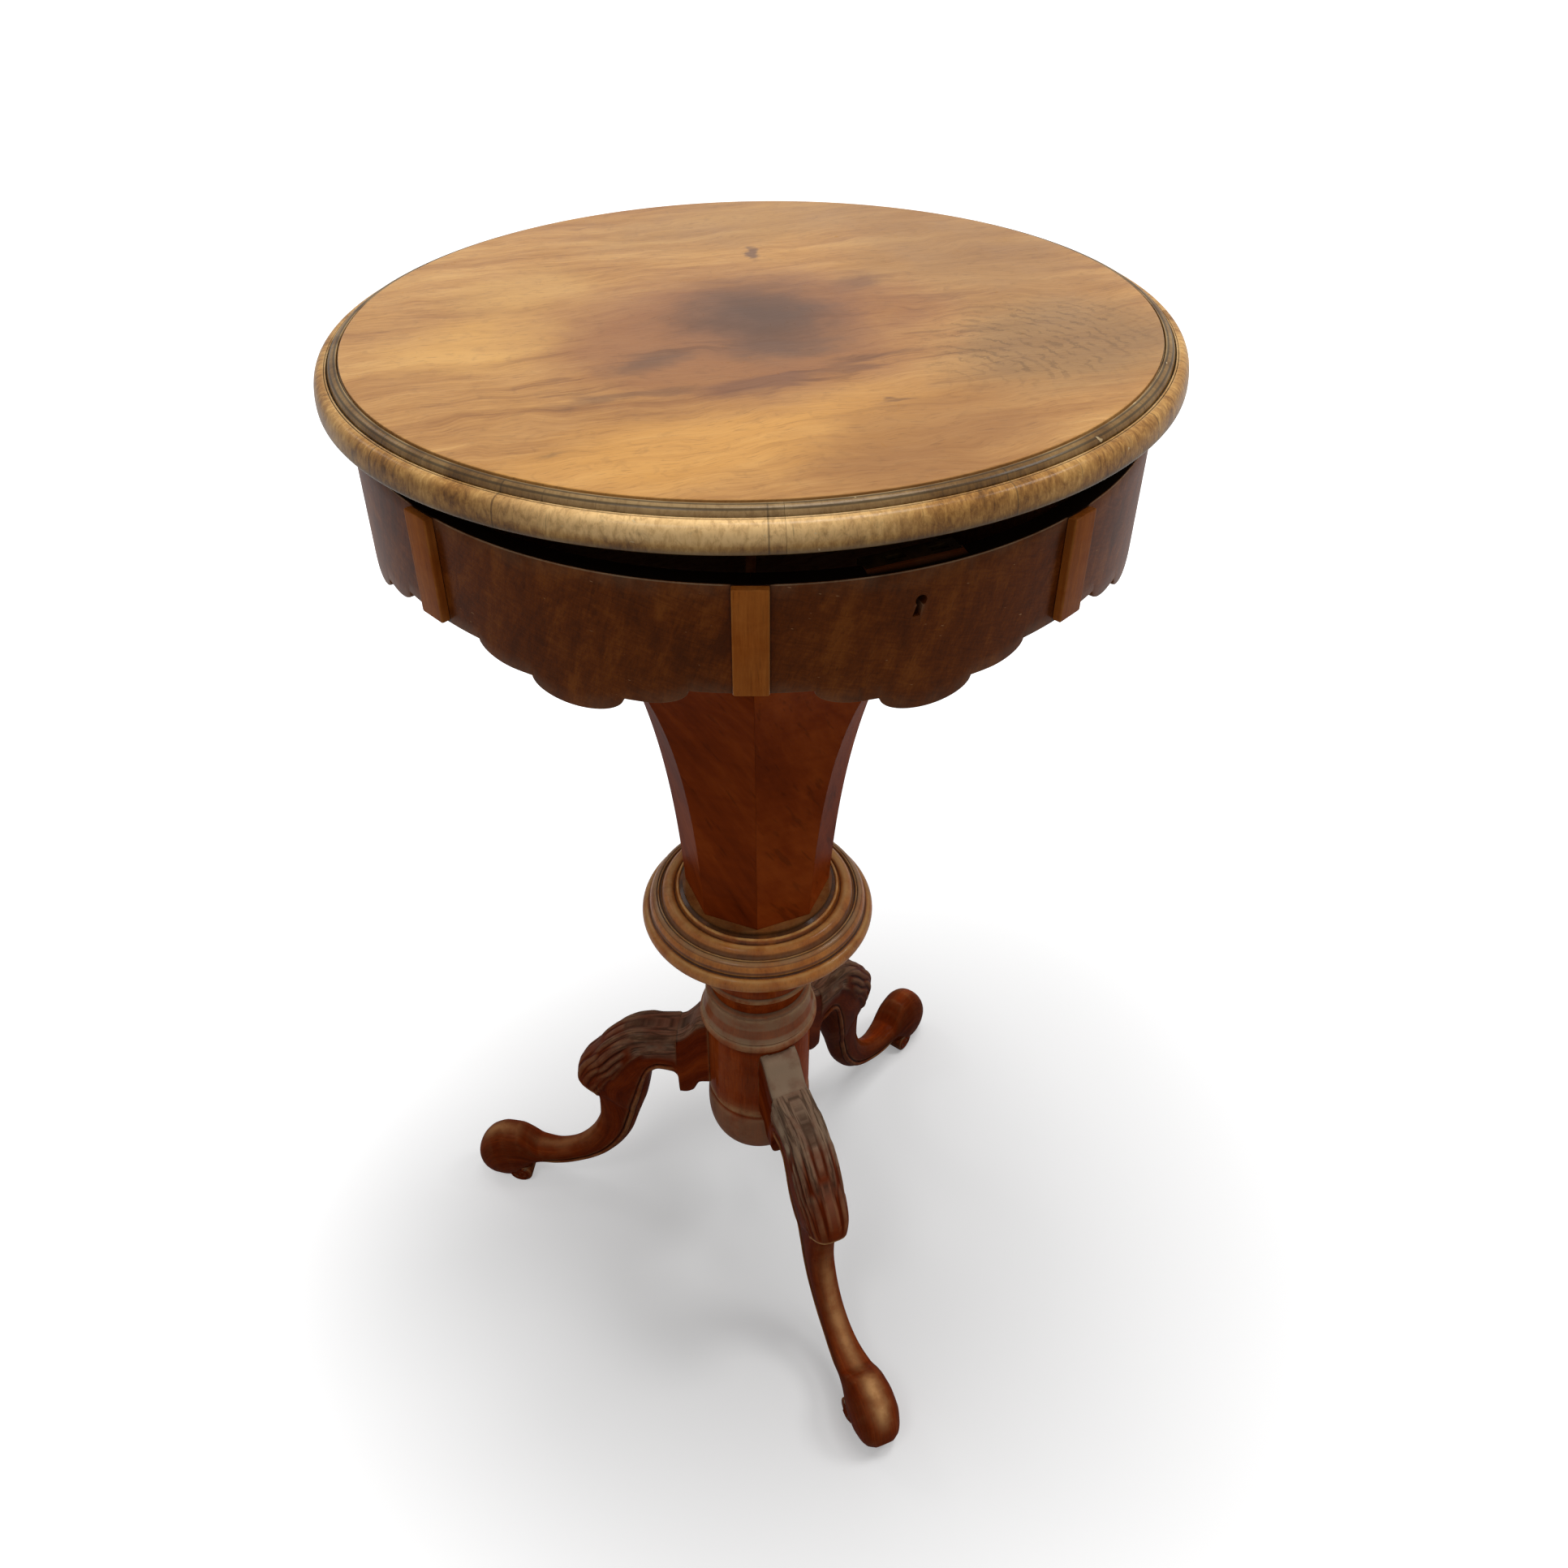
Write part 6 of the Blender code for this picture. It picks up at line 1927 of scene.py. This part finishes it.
@dataclass
class Hardware:
    """Lock, strike and hinges in old brass, with their screws."""

    head_radius: float = 0.0019
    head_depth: float = 0.0007
    slot_width: float = 0.0005
    proud: float = 0.00012
    seed: int = 7
    leaf_step: float = 0.0090  # between the screws of a leaf, and from the pin to them
    lock_across: float = 0.0185  # from the keyhole's line to the lock's screws
    lock_depths: Pair = (0.0045, 0.0235)  # from the drum's top edge down to them
    strike_across: float = 0.019

    def build(self) -> None:
        """Dress the metal solids and set the screws."""
        for name in ("lock_case", "lock_bolt", "lock_strike", "hinge_lid_leaf_left", "hinge_lid_leaf_right",
                     "hinge_drum_leaf_left", "hinge_drum_leaf_right", "hinge_pin_left", "hinge_pin_right"):
            dress_node(name, SHADED_LOCK_BRASS if name in ("lock_case", "lock_bolt") else BRASS)
        lid, drum = Lid(), Drum()
        step, strike = self.leaf_step, self.strike_across
        leaf_y = LAYOUT.hinge_y - step
        middles = (-lid.hinge_centre, lid.hinge_centre)
        leaf_x = [middle + off for middle in middles for off in (-step, 0.0, step)]
        table = [((x, leaf_y, LAYOUT.drum_top), (0.0, 0.0, 1.0)) for x in leaf_x]
        face = drum.lock_back + drum.lock_depth
        table += [((drum.keyhole_x + x, face, LAYOUT.drum_top - z), (0.0, 1.0, 0.0))
                  for x in (-self.lock_across, self.lock_across) for z in self.lock_depths]
        self.build_screws("table_screws", table, Body.TABLE, LAYOUT.table_place())
        under = [((x, leaf_y, LAYOUT.lid_foot), (0.0, 0.0, -1.0)) for x in leaf_x]
        under += [((lid.strike_x + x, lid.bolt_y, LAYOUT.lid_foot), (0.0, 0.0, -1.0))
                  for x in (-strike, strike)]
        self.build_screws("lid_screws", under, Body.LID, LAYOUT.lid_place())

    def build_screws(self, name: str, spots: list[tuple], body: Body, place: Matrix) -> None:
        """Countersunk slotted heads, each turned its own way, by a node tree.

        Args:
            name: name of the piece.
            spots: place and facing of each head.
            body: what the screws move with.
            place: where the spots go.
        """
        turn = place.to_3x3()
        obj = scatter(name, [(place @ Vector(spot), turn @ Vector(way)) for spot, way in spots])
        sizes = {"Head Radius": self.head_radius, "Head Depth": self.head_depth,
                 "Slot Width": self.slot_width, "Proud": self.proud, "Seed": self.seed}
        s = Shape(f"{name}_tree", sizes, True)
        put = s.inputs
        head = s.out("GeometryNodeMeshCylinder",
                     {"Vertices": 24, "Radius": put["Head Radius"], "Depth": put["Head Depth"]})
        size = s.combine(s.times(put["Head Radius"], 3.0), put["Slot Width"], put["Head Depth"])
        bar = s.out("GeometryNodeMeshCube", {"Size": size})
        lift = s.combine(0.0, 0.0, s.times(put["Head Depth"], 0.55))
        raised = s.out("GeometryNodeTransform", {"Geometry": bar, "Translation": lift})
        slotted = s.out("GeometryNodeMeshBoolean", {0: head, 1: raised}, operation="DIFFERENCE")
        sink = s.combine(0.0, 0.0, s.math("MULTIPLY_ADD", put["Head Depth"], -0.5, put["Proud"]))
        sunk = s.out("GeometryNodeTransform", {"Geometry": slotted, "Translation": sink})
        chance = s.add("FunctionNodeRandomValue", {2: 0.0, 3: pi, "Seed": put["Seed"]}, data_type="FLOAT")
        spin = s.combine(0.0, 0.0, chance.outputs[1])
        s.end(s.out("GeometryNodeRotateInstances",
                    {"Instances": s.stand(sunk), "Rotation": spin, "Local Space": True}))
        s.grow(obj, STEEL)
        dress(obj, STEEL, body, "old_brass")


@dataclass(frozen=True)
class Lamp:
    """One square soft lamp."""

    name: str
    place: Triple
    target: Triple
    side: float
    watts: float


@dataclass
class Studio:
    """Floor, soft light and the photograph's camera."""

    focal_pixels: float = 1713.302
    sensor: float = 36.0
    location: Triple = (-0.250727, -0.607310, 1.031005)
    right: Triple = (0.919371, -0.393338, 0.006423)
    up: Triple = (0.251849, 0.601047, 0.758495)
    floor_side: float = 14.0
    floor_colour: Colour = (224, 224, 224)
    bounce_colour: Colour = (150, 147, 143)
    glow_in_painted_shadow: float = 0.21  # the floor's own light under the table, lower than far off, which paints a shadow there
    glow_far: float = 1.0
    # Distances from the painted shadow's centre over which the glow rises to its far level
    painted_shadow_reach: Pair = (0.05, 0.95)
    painted_shadow_centre: Triple = (0.11, -0.05, 0.0)
    world_diffuse: float = 0.26
    lamps: tuple[Lamp, ...] = (
        Lamp("overhead", (0.5, 0.1, 3.4), (0.0, 0.0, 0.4), 1.3, 47.0),
        Lamp("right", (1.9, -0.5, 2.8), (0.0, 0.0, 0.3), 0.8, 18.0),
        Lamp("left", (-1.4, -0.9, 3.0), (0.0, 0.0, 0.3), 0.8, 9.0),
        Lamp("back_left", (-1.0, 2.0, 2.0), (0.0, 0.0, 0.2), 0.6, 3.0))

    def build(self) -> None:
        """Set up camera, floor, world and lamps."""
        bpy.context.scene.view_settings.view_transform = "Standard"
        self.build_camera()
        self.build_floor()
        self.build_world()
        for lamp in self.lamps:
            self.hang(lamp)

    def build_camera(self) -> None:
        """Camera at the photograph's place."""
        data = bpy.data.cameras.new("photo_camera")
        data.sensor_width = self.sensor
        data.lens = self.focal_pixels * self.sensor / IMAGE_SIDE
        data.clip_start, data.clip_end = 0.02, 60.0
        camera = add_object("photo_camera", data)
        right, up = Vector(self.right), Vector(self.up)
        turn = Matrix((right, up, right.cross(up))).transposed().to_4x4()
        camera.matrix_world = Matrix.Translation(self.location) @ turn
        bpy.context.scene.camera = camera

    def build_floor(self) -> None:
        """Pale floor that shows white to the camera and keeps the shadow, with a painted shadow where its
        glow dims round the table.
        """
        half = self.floor_side / 2
        mesh = bpy.data.meshes.new("studio_floor")
        mesh.from_pydata([(-half, -half, 0.0), (half, -half, 0.0), (half, half, 0.0), (-half, half, 0.0)], [],
                         [(0, 1, 2, 3)])
        floor = add_object("studio_floor", mesh)
        material = bpy.data.materials.new("studio_floor")
        material.use_nodes = True
        graph = Graph(material.node_tree)
        graph.tree.nodes.clear()
        seen = self.seen(graph)
        tint = {0: seen, 6: linear(self.bounce_colour), 7: linear(self.floor_colour)}
        pale = graph.add("ShaderNodeMix", tint, data_type="RGBA").outputs[2]
        matt = graph.out("ShaderNodeBsdfDiffuse", {"Color": pale})
        place = graph.add("ShaderNodeTexCoord").outputs["Object"]
        reach = graph.length(graph.vector("SUBTRACT", place, self.painted_shadow_centre))
        level = graph.smooth(reach, *self.painted_shadow_reach, self.glow_in_painted_shadow, self.glow_far)
        glow = graph.out("ShaderNodeEmission", {"Strength": graph.times(seen, level)})
        both = graph.out("ShaderNodeAddShader", {0: matt, 1: glow})
        graph.add("ShaderNodeOutputMaterial", {0: both})
        mesh.materials.append(material)

    def seen(self, graph: Graph) -> Socket:
        """Tell which rays see the background.

        Args:
            graph: the tree that asks.

        Returns:
            1 for rays from the camera, from gloss or through glass.
        """
        path = graph.add("ShaderNodeLightPath").outputs
        first = graph.math("MAXIMUM", path["Is Camera Ray"], path["Is Glossy Ray"])
        return graph.math("MAXIMUM", first, path["Is Transmission Ray"])

    def build_world(self) -> None:
        """White surroundings, dimmer as a light than as a background."""
        world = bpy.data.worlds.new("studio_world")
        bpy.context.scene.world = world
        world.use_nodes = True
        graph = Graph(world.node_tree)
        graph.tree.nodes.clear()
        seen = self.seen(graph)
        lift = graph.math("MULTIPLY_ADD", seen, 1.0 - self.world_diffuse, self.world_diffuse)
        back = graph.out("ShaderNodeBackground", {"Color": (1.0, 1.0, 1.0, 1.0), "Strength": lift})
        graph.add("ShaderNodeOutputWorld", {0: back})

    def hang(self, lamp: Lamp) -> None:
        """Hang one lamp and point it at its target.

        Args:
            lamp: the lamp.
        """
        data = bpy.data.lights.new(lamp.name, "AREA")
        data.size = lamp.side
        data.energy = lamp.watts
        turn = (Vector(lamp.target) - Vector(lamp.place)).to_track_quat("-Z", "Y").to_matrix().to_4x4()
        add_object(lamp.name, data).matrix_world = Matrix.Translation(lamp.place) @ turn


def main() -> None:
    """Build every sub-assembly in order and report its pieces."""
    logging.basicConfig(level=logging.INFO, format="%(name)s %(message)s")
    for assembly in (Studio(), Lid(), Drum(), TrumpetStem(), Turnings(), CabrioleLegs(), Tray(), Hardware()):
        assembly.build()
        log.info("%s done", type(assembly).__name__)


if __name__ == "__main__":
    main()
